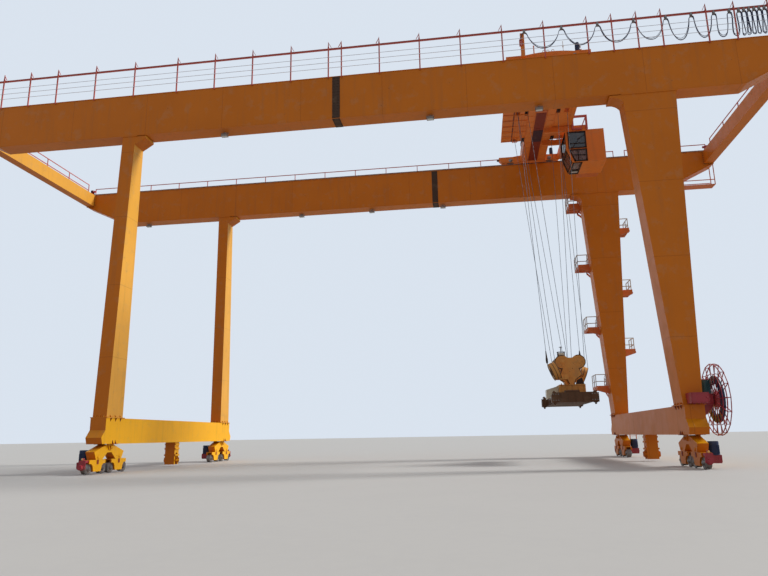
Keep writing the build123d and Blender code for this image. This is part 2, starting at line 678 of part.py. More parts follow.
def festoon_cable():
    """The band of cables that hangs in loops from the carriers."""
    places = festoon_route()
    radii = []
    for before, corner, after in zip(places, places[1:], places[2:]):
        first, second = corner - before, after - corner
        turn = math.radians(first.get_angle(second))
        radii.append(ARC_SHARE * min(first.length, second.length) / math.tan(turn / 2))
    print("festoon radii", [round(radius) for radius in radii])
    path = FilletPolyline(*places, radius=radii)
    print("festoon band length", round(path.length), "of", BUNCH_TURNS, "turns more in the bunch")
    outer = path.offset_2d(CABLE_THICKNESS / 2, kind=Kind.INTERSECTION, side=Side.BOTH, closed=True)
    face = Rot(90, 0, 0) * Face(outer.wires()[0])
    band = Pos(0, BAND_Y[0], 0) * Solid.extrude(face, Vector(0, CABLE_BAND, 0))
    return band.cut(block(BUNCH_X, BUNCH_X + CABLE_THICKNESS, BAND_Y[0] - 1, BAND_Y[1] + 1,
                          SADDLE_Z - CABLE_THICKNESS, SADDLE_Z + CABLE_THICKNESS))


def bunch_carriers():
    """The X of the carriers that stand together at the track's right end."""
    return [CARRIER_X[-1] + turn * BUNCH_PITCH for turn in range(1, BUNCH_TURNS + 1)]


def festoon_bunch():
    """The gathered loops at the track's right end, as one closed solid of their outer shape."""
    x0 = BUNCH_X
    x1 = x0 + BUNCH_TURNS * BUNCH_PITCH
    top, low = SADDLE_Z + CABLE_THICKNESS / 2, SADDLE_Z - BUNCH_SAG
    y = BAND_Y[0]
    edges = [Edge.make_line((x0, y, low), (x0, y, top)), Edge.make_line((x0, y, top), (x1, y, top)),
             Edge.make_line((x1, y, top), (x1, y, low))]
    for turn in range(BUNCH_TURNS):
        right = x1 - turn * BUNCH_PITCH
        middle = (right - BUNCH_PITCH / 2, y, low - BUNCH_PITCH / 3)
        edges.append(Edge.make_three_point_arc((right, y, low), middle, (right - BUNCH_PITCH, y, low)))
    return Solid.extrude(Face(Wire(edges)), Vector(0, CABLE_BAND, 0))


def handrail(start, end):
    """A two-bar handrail between two points at its foot, with evenly spaced posts."""
    start, end = Vector(*start), Vector(*end)
    run = end - start
    count = max(round(run.length / HANDRAIL_PITCH), 1)
    up = Vector(0, 0, HANDRAIL_HEIGHT - FENCE_BAR / 2)
    reach = run.normalized() * (FENCE_BAR / 2)
    bars = [bar(start - reach + up * share, end + reach + up * share, FENCE_BAR) for share in (1.0, 0.5)]
    posts = [bar(start + run * (index / count), start + run * (index / count) + up, FENCE_BAR)
             for index in range(count + 1)]
    return weld(*bars, *posts)


# Stair behind the far right leg

def leg_edge(z, out):
    """The X of the rigid leg's side face at a height, out = -1 for its span side."""
    share = (z - LEG_BOTTOM - LEG_FLANGE) / (LEG_HEIGHT - 2 * LEG_FLANGE)
    foot = RIGID_FOOT_WIDTH / 2
    head = RIGID_HEAD_INNER if out < 0 else RIGID_HEAD_OUTER
    return RIGHT_RAIL + out * (foot + share * (head - foot))


def leg_face(z):
    """How far the rigid leg's outer face stands from the middle, in Y, at a height."""
    share = (z - LEG_BOTTOM - LEG_FLANGE) / (LEG_HEIGHT - 2 * LEG_FLANGE)
    foot, head = LEG_BASE_Y + RIGID_FOOT / 2, GIRDER_Y + RIGID_HEAD / 2
    return foot + share * (head - foot)


def landing_side(index):
    """Landings alternate: even ones are on the span side of the leg."""
    return -1 if index % 2 == 0 else 1


def landing_span(index):
    """The X of a landing at the leg and at its free end."""
    z, out = LANDING_Z[index], landing_side(index)
    inner = leg_edge(z, out) + out * SEAT
    return inner, inner + out * LANDING_REACH


def landing(index):
    """A landing plate beside the leg, on two tapered brackets from the leg's face."""
    z, out = LANDING_Z[index], landing_side(index)
    inner, outer = landing_span(index)
    under = z - LANDING_PLATE
    pieces = []
    y0 = STAIR_Y[1] - LANDING_DEPTH
    for y in (y0, y0 + 3 * BRACKET_THICKNESS):
        low = leg_edge(under - LANDING_BRACKET, out) + out * SEAT
        pieces.append(prism([(inner, y, under), (outer, y, under), (outer, y, under - BRACKET_THICKNESS),
                             (low, y, under - LANDING_BRACKET)], (0, BRACKET_THICKNESS, 0)))
    return weld(block(inner, outer, y0, STAIR_Y[1], under, z), *pieces)


def flight_line(index):
    """The foot and head of the flight that leads up from a landing, or from the sill's for -1."""
    out = landing_side(index)
    low = SILL_TOP if index < 0 else LANDING_Z[index]
    high = GIRDER_TOP if index + 1 == len(LANDING_Z) else LANDING_Z[index + 1]
    start = RIGHT_RAIL + SILL_WIDTH / 2 + SEAT if index < 0 else leg_edge(low, out)
    return (start, low), (leg_edge(high, -out), high)


def flight(index):
    """One flight: two stringers with treads between them."""
    (x0, z0), (x1, z1) = flight_line(index)
    plates = [prism([(x0, y, z0), (x1, y, z1), (x1, y, z1 - STRINGER_DEPTH), (x0, y, z0 - STRINGER_DEPTH)],
                    (0, STRINGER, 0)) for y in (STAIR_Y[0], STAIR_Y[1] - STRINGER)]
    count = round((z1 - z0) / TREAD_RISE)
    steps = []
    for step in range(1, count):
        x = x0 + (x1 - x0) * step / count
        z = z0 + (z1 - z0) * step / count - STRINGER_DEPTH / 2
        steps.append(block(x - TREAD_WIDTH / 2, x + TREAD_WIDTH / 2, STAIR_Y[0] + STRINGER / 2,
                           STAIR_Y[1] - STRINGER / 2, z, z + TREAD_PLATE))
    return weld(*plates, *steps)


def sill_landing():
    """The landing beside the sill where the ladder from the ground ends."""
    x0 = RIGHT_RAIL + SILL_WIDTH / 2 + SEAT
    return block(x0, x0 + LANDING_REACH, LEG_BASE_Y, STAIR_Y[1], SILL_TOP - LANDING_PLATE, SILL_TOP)


def top_landing():
    """The landing where the stair meets the far girder's top."""
    x0 = leg_edge(GIRDER_TOP, 1)
    return block(x0, x0 + LANDING_REACH, GIRDER_Y + GIRDER_WIDTH / 2, STAIR_Y[1], GIRDER_TOP - LANDING_PLATE,
                 GIRDER_TOP)


def ground_ladder():
    """The upright ladder under the sill's landing."""
    x0 = RIGHT_RAIL + SILL_WIDTH / 2 + LANDING_REACH / 2
    y = STAIR_Y[1] - FENCE_BAR
    top = SILL_TOP - LANDING_PLATE
    stiles = [block(x, x + FENCE_BAR, y, y + FENCE_BAR, LADDER_BOTTOM, top) for x in (x0, x0 + LADDER_WIDTH)]
    rungs = [block(x0, x0 + LADDER_WIDTH, y + FENCE_BAR / 4, y + FENCE_BAR * 3 / 4, z, z + FENCE_BAR / 2)
             for z in range(LADDER_BOTTOM + RUNG_PITCH, round(top), RUNG_PITCH)]
    return weld(*stiles, *rungs)


def guard(x0, x1, z):
    """The guard rail round a landing, from its leg end x0 to its free end x1."""
    out = 1 if x1 > x0 else -1
    inner, outer = x0 + out * GUARD_SETBACK, x1 - out * FENCE_BAR / 2
    y0, y1 = GIRDER_Y + GIRDER_WIDTH / 2 + FENCE_BAR, STAIR_Y[1] - FENCE_BAR / 2
    posts = [bar((x, y, z), (x, y, z + GUARD_HEIGHT), FENCE_BAR)
             for x, y in ((inner, y0), (outer, y0), (outer, (y0 + y1) / 2), (outer, y1))]
    bars = []
    for height in (GUARD_HEIGHT - FENCE_BAR / 2, GUARD_HEIGHT / 2):
        bars.append(bar((inner, y0, z + height), (outer, y0, z + height), FENCE_BAR))
        bars.append(bar((outer, y0, z + height), (outer, y1, z + height), FENCE_BAR))
    return weld(*posts, *bars)


# Cable reel

def reel_ring(x):
    """One rim of the reel: a many-sided ring of square bar with its spokes."""
    middle = x + REEL_BAR / 2
    reach = REEL_RADIUS - REEL_BAR
    corners = [2 * math.pi * index / REEL_SPOKES for index in range(REEL_SPOKES)]

    def ring_wire(radius):
        return Wire.make_polygon([Vector(x, REEL_Y + radius * math.cos(angle), REEL_Z + radius * math.sin(angle))
                                  for angle in corners], close=True)

    rim = Solid.extrude(Face(ring_wire(REEL_RADIUS), [ring_wire(REEL_RADIUS - REEL_BAR)]), Vector(REEL_BAR, 0, 0))
    spokes = []
    for angle in corners:
        y, z = math.cos(angle), math.sin(angle)
        spokes.append(bar((middle, REEL_Y + SPOKE_ROOT * y, REEL_Z + SPOKE_ROOT * z),
                          (middle, REEL_Y + reach * y, REEL_Z + reach * z), REEL_BAR))
    return [rim, *spokes]


def cable_reel():
    """The power-cable reel: hub and shaft, and two spoked rims tied by cross bars."""
    x0, x1 = REEL_X - REEL_WIDTH / 2, REEL_X + REEL_WIDTH / 2
    hub = rod((x0, REEL_Y, REEL_Z), (x1, REEL_Y, REEL_Z), REEL_HUB)
    shaft = rod((GEARBOX_X1 - SHAFT_DEPTH, REEL_Y, REEL_Z), (x0 + REEL_BAR, REEL_Y, REEL_Z), REEL_SHAFT)
    ties = []
    for index in range(REEL_SPOKES):
        angle = 2 * math.pi * index / REEL_SPOKES
        y, z = (REEL_RADIUS - REEL_BAR) * math.cos(angle), (REEL_RADIUS - REEL_BAR) * math.sin(angle)
        ties.append(bar((x0, REEL_Y + y, REEL_Z + z), (x1, REEL_Y + y, REEL_Z + z), REEL_BAR))
    return weld(hub, shaft, *reel_ring(x0), *reel_ring(x1 - REEL_BAR), *ties)


def wound_cable():
    """The power cable wound between the reel's rims."""
    x0, x1 = REEL_X - REEL_WIDTH / 2 + REEL_BAR + SEAT, REEL_X + REEL_WIDTH / 2 - REEL_BAR - SEAT
    inner, outer = WOUND_RADII
    return rod((x0, REEL_Y, REEL_Z), (x1, REEL_Y, REEL_Z), outer).cut(
        rod((x0 - 1, REEL_Y, REEL_Z), (x1 + 1, REEL_Y, REEL_Z), inner))


def reel_drive():
    """The reel's gearbox, bored for the reel's shaft, with its motor upright on top."""
    half = REEL_GEARBOX_HALF
    gearbox = block(GEARBOX_X0, GEARBOX_X1, REEL_Y - half, REEL_Y + half, REEL_Z - half, REEL_Z + half)
    x = (GEARBOX_X0 + GEARBOX_X1) / 2
    top = REEL_Z + half
    motor = rod((x, REEL_Y, top), (x, REEL_Y, top + REEL_MOTOR_HEIGHT), REEL_MOTOR_RADIUS)
    bore = rod((GEARBOX_X1 - SHAFT_DEPTH - SEAT, REEL_Y, REEL_Z), (GEARBOX_X1 + SEAT, REEL_Y, REEL_Z),
               REEL_SHAFT + SHAFT_FIT)
    return weld(gearbox, motor).cut(bore)


def reel_stand():
    """The bracket from the right sill that carries the reel's drive."""
    top = SILL_TOP - SEAT
    x0, y = RIGHT_RAIL + SILL_WIDTH / 2 + SEAT, REEL_Y - STAND_WIDTH / 2
    return prism([(x0, y, top), (GEARBOX_X1, y, top), (GEARBOX_X1, y, top - BRACKET_THICKNESS),
                  (x0, y, top - STAND_DEPTH)], (0, STAND_WIDTH, 0))


def reel_box():
    """The slip-ring box on the near face of the near right leg, with a wedge plate to the sloping face."""
    z0, z1 = BOX_Z
    back = -(leg_face(z0) + SEAT + LEG_FLANGE_LIP)
    x0, x1 = RIGHT_RAIL + BOX_X[0], RIGHT_RAIL + BOX_X[1]
    box = block(x0, x1, back - BOX_DEPTH, back, z0, z1)
    seat = prism([(x0, back, z0 + RIB_HEIGHT), (x0, back, z1), (x0, -leg_face(z1) - SEAT, z1),
                  (x0, -leg_face(z0 + RIB_HEIGHT) - SEAT, z0 + RIB_HEIGHT)],
                 (RIGID_FOOT_WIDTH / 3, 0, 0))
    return weld(box, seat)


# Floodlights and end platform

def floodlight(x, side):
    """A lamp under a girder's bottom flange on a short hanger."""
    y, z = side * GIRDER_Y, GIRDER_BOTTOM
    half, back = LIGHT_WIDTH / 2, LIGHT_BACK / 2
    hanger = block(x - FENCE_BAR / 2, x + FENCE_BAR / 2, y - FENCE_BAR / 2, y + FENCE_BAR / 2, z - LIGHT_DROP, z)
    low = z - LIGHT_DROP
    hood = prism([(x - back, y - back, low), (x + back, y - back, low), (x + half, y - back, low - LIGHT_HOOD),
                  (x - half, y - back, low - LIGHT_HOOD)], (0, LIGHT_BACK, 0))
    return weld(hanger, hood)


def end_platform():
    """The service platform hung under the far girder's right taper on two pairs of hangers."""
    x1 = RIGHT_TIP
    x0 = x1 - PLATFORM_LENGTH
    half = PLATFORM_WIDTH / 2
    y0, y1 = GIRDER_Y - half, GIRDER_Y + half
    bottom = GIRDER_TOP - TIP_DEPTH
    slope = (GIRDER_DEPTH - TIP_DEPTH) / RIGHT_TAPER
    pieces = []
    for x in (x0, x1 - FENCE_BAR):
        for y in (y0, y1 - FENCE_BAR):
            low = bottom - (x1 - x) * slope
            lower = bottom - (x1 - x - FENCE_BAR) * slope
            pieces.append(prism([(x, y, PLATFORM_Z), (x + FENCE_BAR, y, PLATFORM_Z), (x + FENCE_BAR, y, lower),
                                 (x, y, low)], (0, FENCE_BAR, 0)))
    for y in (y0, y1 - FENCE_BAR):
        pieces.append(bar((x0, y + FENCE_BAR / 2, PLATFORM_Z + PLATFORM_RAIL),
                          (x1, y + FENCE_BAR / 2, PLATFORM_Z + PLATFORM_RAIL), FENCE_BAR))
    return weld(block(x0, x1, y0, y1, PLATFORM_Z - LANDING_PLATE, PLATFORM_Z), *pieces)


# Trolley

def carriage(side):
    """An end carriage of the trolley, a box beam with pockets for its two wheels."""
    y = side * CRANE_RAIL_Y
    x0, x1 = TROLLEY_LEFT, TROLLEY_RIGHT
    half = CARRIAGE_WIDTH / 2
    low, high = RAIL_TOP + CARRIAGE_BOTTOM, RAIL_TOP + CARRIAGE_TOP
    nose = (high - low) / 2
    section = [(x0, low + nose), (x0 + nose, low), (x1 - nose, low), (x1, low + nose), (x1, high), (x0, high)]
    beam = prism([(x, y - half, z) for x, z in section], (0, CARRIAGE_WIDTH, 0))
    pocket = TROLLEY_WHEEL_WIDTH / 2 + SEAT
    reach = TROLLEY_WHEEL + TROLLEY_FLANGE + ARM_CLEAR
    pockets = [block(x - reach, x + reach, y - pocket, y + pocket, low - 1, TROLLEY_AXLE_Z + reach)
               for x in wheel_places()]
    return beam.cut(*pockets)


def wheel_places():
    """The X of the trolley's wheels."""
    return [TROLLEY_X - TROLLEY_WHEEL_BASE / 2, TROLLEY_X + TROLLEY_WHEEL_BASE / 2]


def trolley_wheel(x, side):
    """A trolley wheel with a flange on each side of its rail."""
    half, tread = TROLLEY_WHEEL_WIDTH / 2, TROLLEY_TREAD / 2
    rim = TROLLEY_WHEEL + TROLLEY_FLANGE
    y = side * CRANE_RAIL_Y
    section = [(-half, 0), (half, 0), (half, rim), (tread, rim), (tread, TROLLEY_WHEEL), (-tread, TROLLEY_WHEEL),
               (-tread, rim), (-half, rim)]
    face = outline([(x, y + dy, TROLLEY_AXLE_Z + r) for dy, r in section])
    return Solid.revolve(face, 360, Axis((x, y, TROLLEY_AXLE_Z), (0, 1, 0)))


def cross_beam(x0, x1, top):
    """A cross beam between the carriages, stepped down between the girders."""
    end = CRANE_RAIL_Y - CARRIAGE_WIDTH / 2
    step = end - TROLLEY_FLANGE * 2
    low, foot = RAIL_TOP + CARRIAGE_BOTTOM, FRAME_BOTTOM
    right = [(step - (low - foot), foot), (step, low), (end, low), (end, RAIL_TOP + CARRIAGE_TOP),
             (end - (top - RAIL_TOP - CARRIAGE_TOP), top)]
    section = right + [(-y, z) for y, z in reversed(right)]
    return prism([(x0, y, z) for y, z in section], (x1 - x0, 0, 0))


def trolley_frame():
    """The trolley's frame: two end carriages joined by cross beams."""
    beams = [cross_beam(x0, x1, BEAM_TOP) for x0, x1 in BEAM_X]
    return weld(carriage(-1), carriage(1), *beams, cross_beam(*EDGE_BEAM, RAIL_TOP + CARRIAGE_TOP))


def deck_plate(x0, x1, y0, y1):
    """A deck plate between the beams, just above their bottoms, with the slots of the ropes that pass it."""
    z = FRAME_BOTTOM + DECK_RIB
    plate = block(x0, x1, y0, y1, z, z + DECK_PLATE)
    half_x, half_y = SLOT_WIDTH / 2, SLOT_LENGTH / 2
    slots = [block(x - half_x, x + half_x, y - half_y, y + half_y, z - 1, z + DECK_PLATE + 1)
             for x in ROPE_SLOT_X for y in ROPE_SLOT_Y if x0 < x < x1]
    return plate.cut(*slots) if slots else plate


def deck_ribs(x0, x1):
    """The cross ribs under the deck's left end."""
    count = int((DECK_Y[1] - DECK_Y[0]) / DECK_RIB_PITCH)
    return [block(x0, x1, DECK_Y[0] + index * DECK_RIB_PITCH, DECK_Y[0] + index * DECK_RIB_PITCH + DECK_RIB,
                  FRAME_BOTTOM, FRAME_BOTTOM + DECK_RIB) for index in range(1, count + 1)]


def hoist_drum(x):
    """A rope drum with end flanges, its axis along Y."""
    y0, y1 = DRUM_Y
    z = DRUM_AXIS_Z
    rim = DRUM_RADIUS + CLOVER_PLATE
    return weld(rod((x, y0, z), (x, y1, z), DRUM_RADIUS), rod((x, y0, z), (x, y0 + CLOVER_PLATE, z), rim),
                rod((x, y1 - CLOVER_PLATE, z), (x, y1, z), rim))


def rope_lines():
    """Each hoisting rope's foot at the head block and its top at a drum or guide."""
    rim = CLOVER_LOBE - CLOVER_PLATE + ROPE_RADIUS + ROPE_CLEAR
    feet_x = [HEAD_X - CLOVER_SPAN - rim, HEAD_X - CLOVER_SPAN + rim, HEAD_X + CLOVER_SPAN - rim,
              HEAD_X + CLOVER_SPAN + rim]
    ropes = []
    for side, slot_y in zip((-1, 1), ROPE_SLOT_Y):
        foot_y = side * (abs(CLOVER_Y[0]) + abs(CLOVER_Y[1])) / 2
        for slot_x, foot_x in zip(ROPE_SLOT_X, feet_x):
            foot, slot = Vector(foot_x, foot_y, LOBE_Z), Vector(slot_x, slot_y, FRAME_BOTTOM)
            ropes.append((foot, slot + (slot - foot) * ((DRUM_AXIS_Z - FRAME_BOTTOM) / (FRAME_BOTTOM - LOBE_Z))))
        outer = ropes[-4 if side < 0 else -1][1]
        ropes.append((side_block_rim(side), outer + Vector(0, side * ROPE_PAIR, 0)))
    return ropes


def drum_places():
    """The X of the two drums, whose outer sides pay out the inner ropes."""
    reach = DRUM_RADIUS + ROPE_RADIUS + ROPE_CLEAR
    lines = rope_lines()
    return [lines[1][1].X + reach, lines[2][1].X - reach]


def guide_places():
    """The X of the guides that lead the outer ropes down, and the side of the rope each stands on."""
    reach = GUIDE_RADIUS + ROPE_RADIUS + ROPE_CLEAR
    lines = rope_lines()
    return [lines[0][1].X + reach, lines[3][1].X - reach]


def pedestal(x, y):
    """A bearing pedestal between a cross beam's top and a drum's end."""
    half = PEDESTAL_HALF
    return prism([(x - half, y, BEAM_TOP), (x + half, y, BEAM_TOP), (x + half / 2, y, DRUM_AXIS_Z + half / 2),
                  (x - half / 2, y, DRUM_AXIS_Z + half / 2)], (0, PEDESTAL_WIDTH, 0))


def hoist_drive(x):
    """A drum's gearbox and the motor beyond it, on the cross beam under them."""
    y = DRUM_Y[1] + PEDESTAL_WIDTH + 2 * SEAT
    half = GEARBOX_HALF
    gearbox = block(x - half, x + half, y, y + GEARBOX_LENGTH, BEAM_TOP, DRUM_AXIS_Z + half)
    axis = BEAM_TOP + HOIST_MOTOR_RADIUS
    motor = rod((x, y + GEARBOX_LENGTH, axis), (x, y + GEARBOX_LENGTH + HOIST_MOTOR_LENGTH, axis),
                HOIST_MOTOR_RADIUS)
    return weld(gearbox, motor)


def rope_guide(x, side):
    """A guide sheave for the outer ropes of one side, on its bracket from the deck."""
    y = ROPE_SLOT_Y[0 if side < 0 else 1] + side * ROPE_PAIR / 2
    half = GUIDE_WIDTH / 2
    disc = rod((x, y - half, DRUM_AXIS_Z), (x, y + half, DRUM_AXIS_Z), GUIDE_RADIUS)
    base = FRAME_BOTTOM + DECK_RIB + DECK_PLATE
    foot, head = GUIDE_FOOT, GUIDE_HEAD
    plates = [prism([(x - foot, start, base), (x + foot, start, base), (x + head, start, DRUM_AXIS_Z + head),
                     (x - head, start, DRUM_AXIS_Z + head)], (0, GUIDE_PLATE, 0))
              for start in (y - half - GUIDE_PLATE, y + half)]
    return weld(disc, *plates)


def tow_arm():
    """The arm that tows the festoon: out from the near carriage and up to the cable track."""
    face = -(CRANE_RAIL_Y + CARRIAGE_WIDTH / 2)
    outer = BAND_Y[1] + SEAT
    x0, x1 = TOW_ARM_X - TOW_ARM_WIDTH / 2, TOW_ARM_X + TOW_ARM_WIDTH / 2
    low = RAIL_TOP + CARRIAGE_BOTTOM
    beam = block(x0, x1, outer, face, low, low + TOW_ARM_WIDTH)
    post = block(x0, x1, outer, outer + TOW_ARM_DEPTH, low, SADDLE_Z + CABLE_THICKNESS)
    return weld(beam, post)


def carriage_cover(side):
    """The long low arched cover over the travel drives on top of a carriage."""
    y, z = side * CRANE_RAIL_Y - COVER_WIDTH / 2, RAIL_TOP + CARRIAGE_TOP
    x0, x1 = COVER_X
    edges = [Edge.make_line((x0, y, z), (x1, y, z)),
             Edge.make_three_point_arc((x1, y, z), ((x0 + x1) / 2, y, z + COVER_HEIGHT), (x0, y, z))]
    return Solid.extrude(Face(Wire(edges)), Vector(0, COVER_WIDTH, 0))


# Cab

def cab_profile(inset):
    """The cab's outline seen from the near side, raked at its front, set in by a wall."""
    x0, x1 = CAB_X
    z0, z1 = CAB_Z
    return [(x0 + CAB_RAKE + inset, z0 + inset), (x1 - inset, z0 + inset), (x1 - inset, z1 - inset),
            (x0 + inset, z1 - inset), (x0 + inset, z0 + SILL_RAIL)]


def rake_at(z):
    """The X of the cab's raked front at a height below its sill rail."""
    return CAB_X[0] + CAB_RAKE * (1 - (z - CAB_Z[0]) / SILL_RAIL)


def cab_body():
    """The cab's hollow shell with its front, side and floor windows cut through."""
    y0, y1 = CAB_Y
    shell = prism([(x, y0, z) for x, z in cab_profile(0)], (0, y1 - y0, 0))
    room = prism([(x, y0 + CAB_WALL, z) for x, z in cab_profile(CAB_WALL)], (0, y1 - y0 - 2 * CAB_WALL, 0))
    return shell.cut(room, *cab_windows(1))


def cab_windows(stretch):
    """The cab's window openings as solids through their walls, or the panes that close them."""
    margin, wall = WINDOW_MARGIN, CAB_WALL
    x0, x1 = CAB_X
    (y0, y1), (z0, z1) = CAB_Y, CAB_Z
    if stretch:
        front, back, sides = -1, wall + 1, ((y0 - 1, y0 + wall + 1), (y1 - wall - 1, y1 + 1))
    else:
        lift = (wall - PANE) / 2
        front, back = lift, lift + PANE
        sides = ((y0 + lift, y0 + lift + PANE), (y1 - lift - PANE, y1 - lift))
    foot, rail_low, rail_high = z0 + margin / 2, z0 + SILL_RAIL - margin / 2, z0 + SILL_RAIL + margin / 2
    edge = margin + wall
    windows = []
    for low, high in sides:
        windows.append(block(x0 + edge, x0 + CAB_WINDOW_X, low, high, rail_high, z1 - margin))
        windows.append(prism([(rake_at(foot) + edge, low, foot), (x0 + CAB_WINDOW_X, low, foot),
                              (x0 + CAB_WINDOW_X, low, rail_low), (rake_at(rail_low) + edge, low, rail_low)],
                             (0, high - low, 0)))
    windows.append(block(x0 + front, x0 + back, y0 + margin, y1 - margin,
                         rail_high, z1 - margin))
    reach = 2 * wall if stretch else PANE
    windows.append(prism([(rake_at(z) + dx, y0 + margin, z)
                          for z, dx in ((foot, front), (foot, front + reach), (rail_low, front + reach),
                                        (rail_low, front))], (0, y1 - y0 - 2 * margin, 0)))
    windows.append(block(x0 + FLOOR_WINDOW_X[0], x0 + FLOOR_WINDOW_X[1], y0 + margin, y1 - margin,
                         z0 + front, z0 + back))
    return windows


def cab_hanger():
    """The two beams that hang the cab from the trolley's frame, and the bracket at their right end."""
    x0, x1 = BEAM_X[1][0], HANGER_END
    top, low = FRAME_BOTTOM, CAB_Z[1]
    beams = []
    for y in (CAB_Y[0] + SEAT, CAB_Y[1] - HANGER_WIDTH - SEAT):
        beams.append(block(x0, x1, y, y + HANGER_WIDTH, low, top))
    cross = block(x1 - HANGER_WIDTH, x1, CAB_Y[0] + SEAT, CAB_Y[1] - SEAT, low, top)
    return weld(*beams, cross)


def cab_bracket():
    """The open bracket on the cab's roof, at the frame's right side: a braced frame of square bars."""
    half = BRACKET_BAR / 2
    x0, x1 = TROLLEY_RIGHT + SEAT + half, TROLLEY_RIGHT + BRACKET_REACH - half
    y = CAB_Y[0] - half
    z0, z1 = CAB_Z[1] + SEAT + half, BRACKET_TOP
    toe = TROLLEY_RIGHT + BRACKET_TOE
    bars = [bar((x, y, z0 - half), (x, y, z1 + half), BRACKET_BAR) for x in (x0, x1)]
    bars.append(bar((x0, y, z1), (x1, y, z1), BRACKET_BAR))
    bars.append(bar((x0, y, z0), (toe, y, z0), BRACKET_BAR))
    bars.append(bar((toe - half, y, z0), (x1, y, z1), half))
    return weld(*bars)


# Hoist and spreader

def hoist_ropes():
    """The hoisting ropes, fanned from the head block to the drums and guides."""
    return [rod(tuple(foot), tuple(top), ROPE_RADIUS) for foot, top in rope_lines()]


def clover(y):
    """One clover-leaf side plate of the head block: a waist, two shoulders and two round lobes."""
    span, lobe = CLOVER_SPAN, CLOVER_LOBE
    saddle_x = span - math.sqrt(lobe ** 2 - CLOVER_SADDLE ** 2)

    def at(dx, dz):
        return Vector(HEAD_X + dx, y, BASE_TOP + dz)

    def side(s):
        waist, shoulder = at(s * CLOVER_WAIST[0], CLOVER_WAIST[1]), at(s * CLOVER_SHOULDER[0], CLOVER_SHOULDER[1])
        notch = at(s * span, CLOVER_RISE - lobe)
        crest = at(s * saddle_x, CLOVER_RISE + CLOVER_SADDLE)
        neck = at(s * CLOVER_NECK, 0)
        return [Edge.make_line(neck, waist), Edge.make_line(waist, shoulder), Edge.make_line(shoulder, notch),
                Edge.make_three_point_arc(notch, at(s * (span + lobe), CLOVER_RISE), crest)]

    edges = side(1) + side(-1)
    edges.append(Edge.make_line(at(-CLOVER_NECK, 0), at(CLOVER_NECK, 0)))
    edges.append(Edge.make_line(at(saddle_x, CLOVER_RISE + CLOVER_SADDLE), at(-saddle_x, CLOVER_RISE + CLOVER_SADDLE)))
    return Solid.extrude(Face(Wire(edges)), Vector(0, CLOVER_PLATE, 0))


def head_block():
    """The head block: a base box and two pairs of clover-leaf plates, joined by their axles."""
    half_x, half_y = HEAD_BASE_WIDTH / 2, HEAD_BASE_LENGTH / 2
    pieces = []
    for s in (-1, 1):
        outer, inner = (s * abs(CLOVER_Y[0]), s * abs(CLOVER_Y[1]))
        for y in (min(outer, inner), max(outer, inner) - CLOVER_PLATE):
            pieces.append(clover(y))
        for dx in (-CLOVER_SPAN, CLOVER_SPAN):
            pieces.append(rod((HEAD_X + dx, min(outer, inner), LOBE_Z), (HEAD_X + dx, max(outer, inner), LOBE_Z),
                              LOCK_RADIUS))
    foot = HEAD_LOCK / 2
    locks = [block(SPREADER_X + dx - foot, SPREADER_X + dx + foot, dy - foot, dy + foot, SPREADER_TOP, BASE_BOTTOM)
             for dx in (-HEAD_LOCK_X, HEAD_LOCK_X) for dy in (-HEAD_LOCK_Y, HEAD_LOCK_Y)]
    base = block(HEAD_X - half_x, HEAD_X + half_x, -half_y, half_y, BASE_BOTTOM, BASE_TOP)
    return weld(base, *pieces, *locks)


def rope_sheave(dx, side):
    """A sheave between two clover plates, bored for its axle."""
    y0, y1 = sorted((side * abs(CLOVER_Y[0]), side * abs(CLOVER_Y[1])))
    y0 += CLOVER_PLATE + SEAT
    disc = rod((HEAD_X + dx, y0, LOBE_Z), (HEAD_X + dx, y1 - CLOVER_PLATE - SEAT, LOBE_Z), CLOVER_LOBE - CLOVER_PLATE)
    bore = rod((HEAD_X + dx, y0 - 1, LOBE_Z), (HEAD_X + dx, y1, LOBE_Z), LOCK_RADIUS + SEAT)
    return disc.cut(bore)


def side_block_axis(side):
    """Where a side block's open end is centred, and the direction from it towards the head block."""
    tilt = math.radians(SIDE_BLOCK_TILT)
    place = Vector(HEAD_X + side * SIDE_BLOCK_PLACE[0], side * SIDE_BLOCK_PLACE[1], BASE_TOP + SIDE_BLOCK_PLACE[2])
    return place, Vector(-side * math.cos(tilt), 0, math.sin(tilt))


def side_block_rim(side):
    """The top of a side block's rim, where its rope runs in."""
    place, axis = side_block_axis(side)
    up = Vector(side * axis.Z, 0, abs(axis.X))
    return place + up * (SIDE_BLOCK_RADIUS + ROPE_RADIUS * axis.Z + ROPE_CLEAR)


def side_block(side):
    """A tilted round rope block in front of the head block's waist, on its arm from the near plate."""
    place, axis = side_block_axis(side)
    drum = rod(tuple(place), tuple(place + axis * SIDE_BLOCK_LENGTH), SIDE_BLOCK_RADIUS)
    x0 = place.X - side * SIDE_BLOCK_LENGTH / 2
    arm = block(x0, HEAD_X + side * CLOVER_WAIST[0], place.Y, side * (abs(CLOVER_Y[0]) + SEAT),
                BASE_TOP + CLOVER_WAIST[1], BASE_TOP + CLOVER_SHOULDER[1])
    return weld(drum, arm)


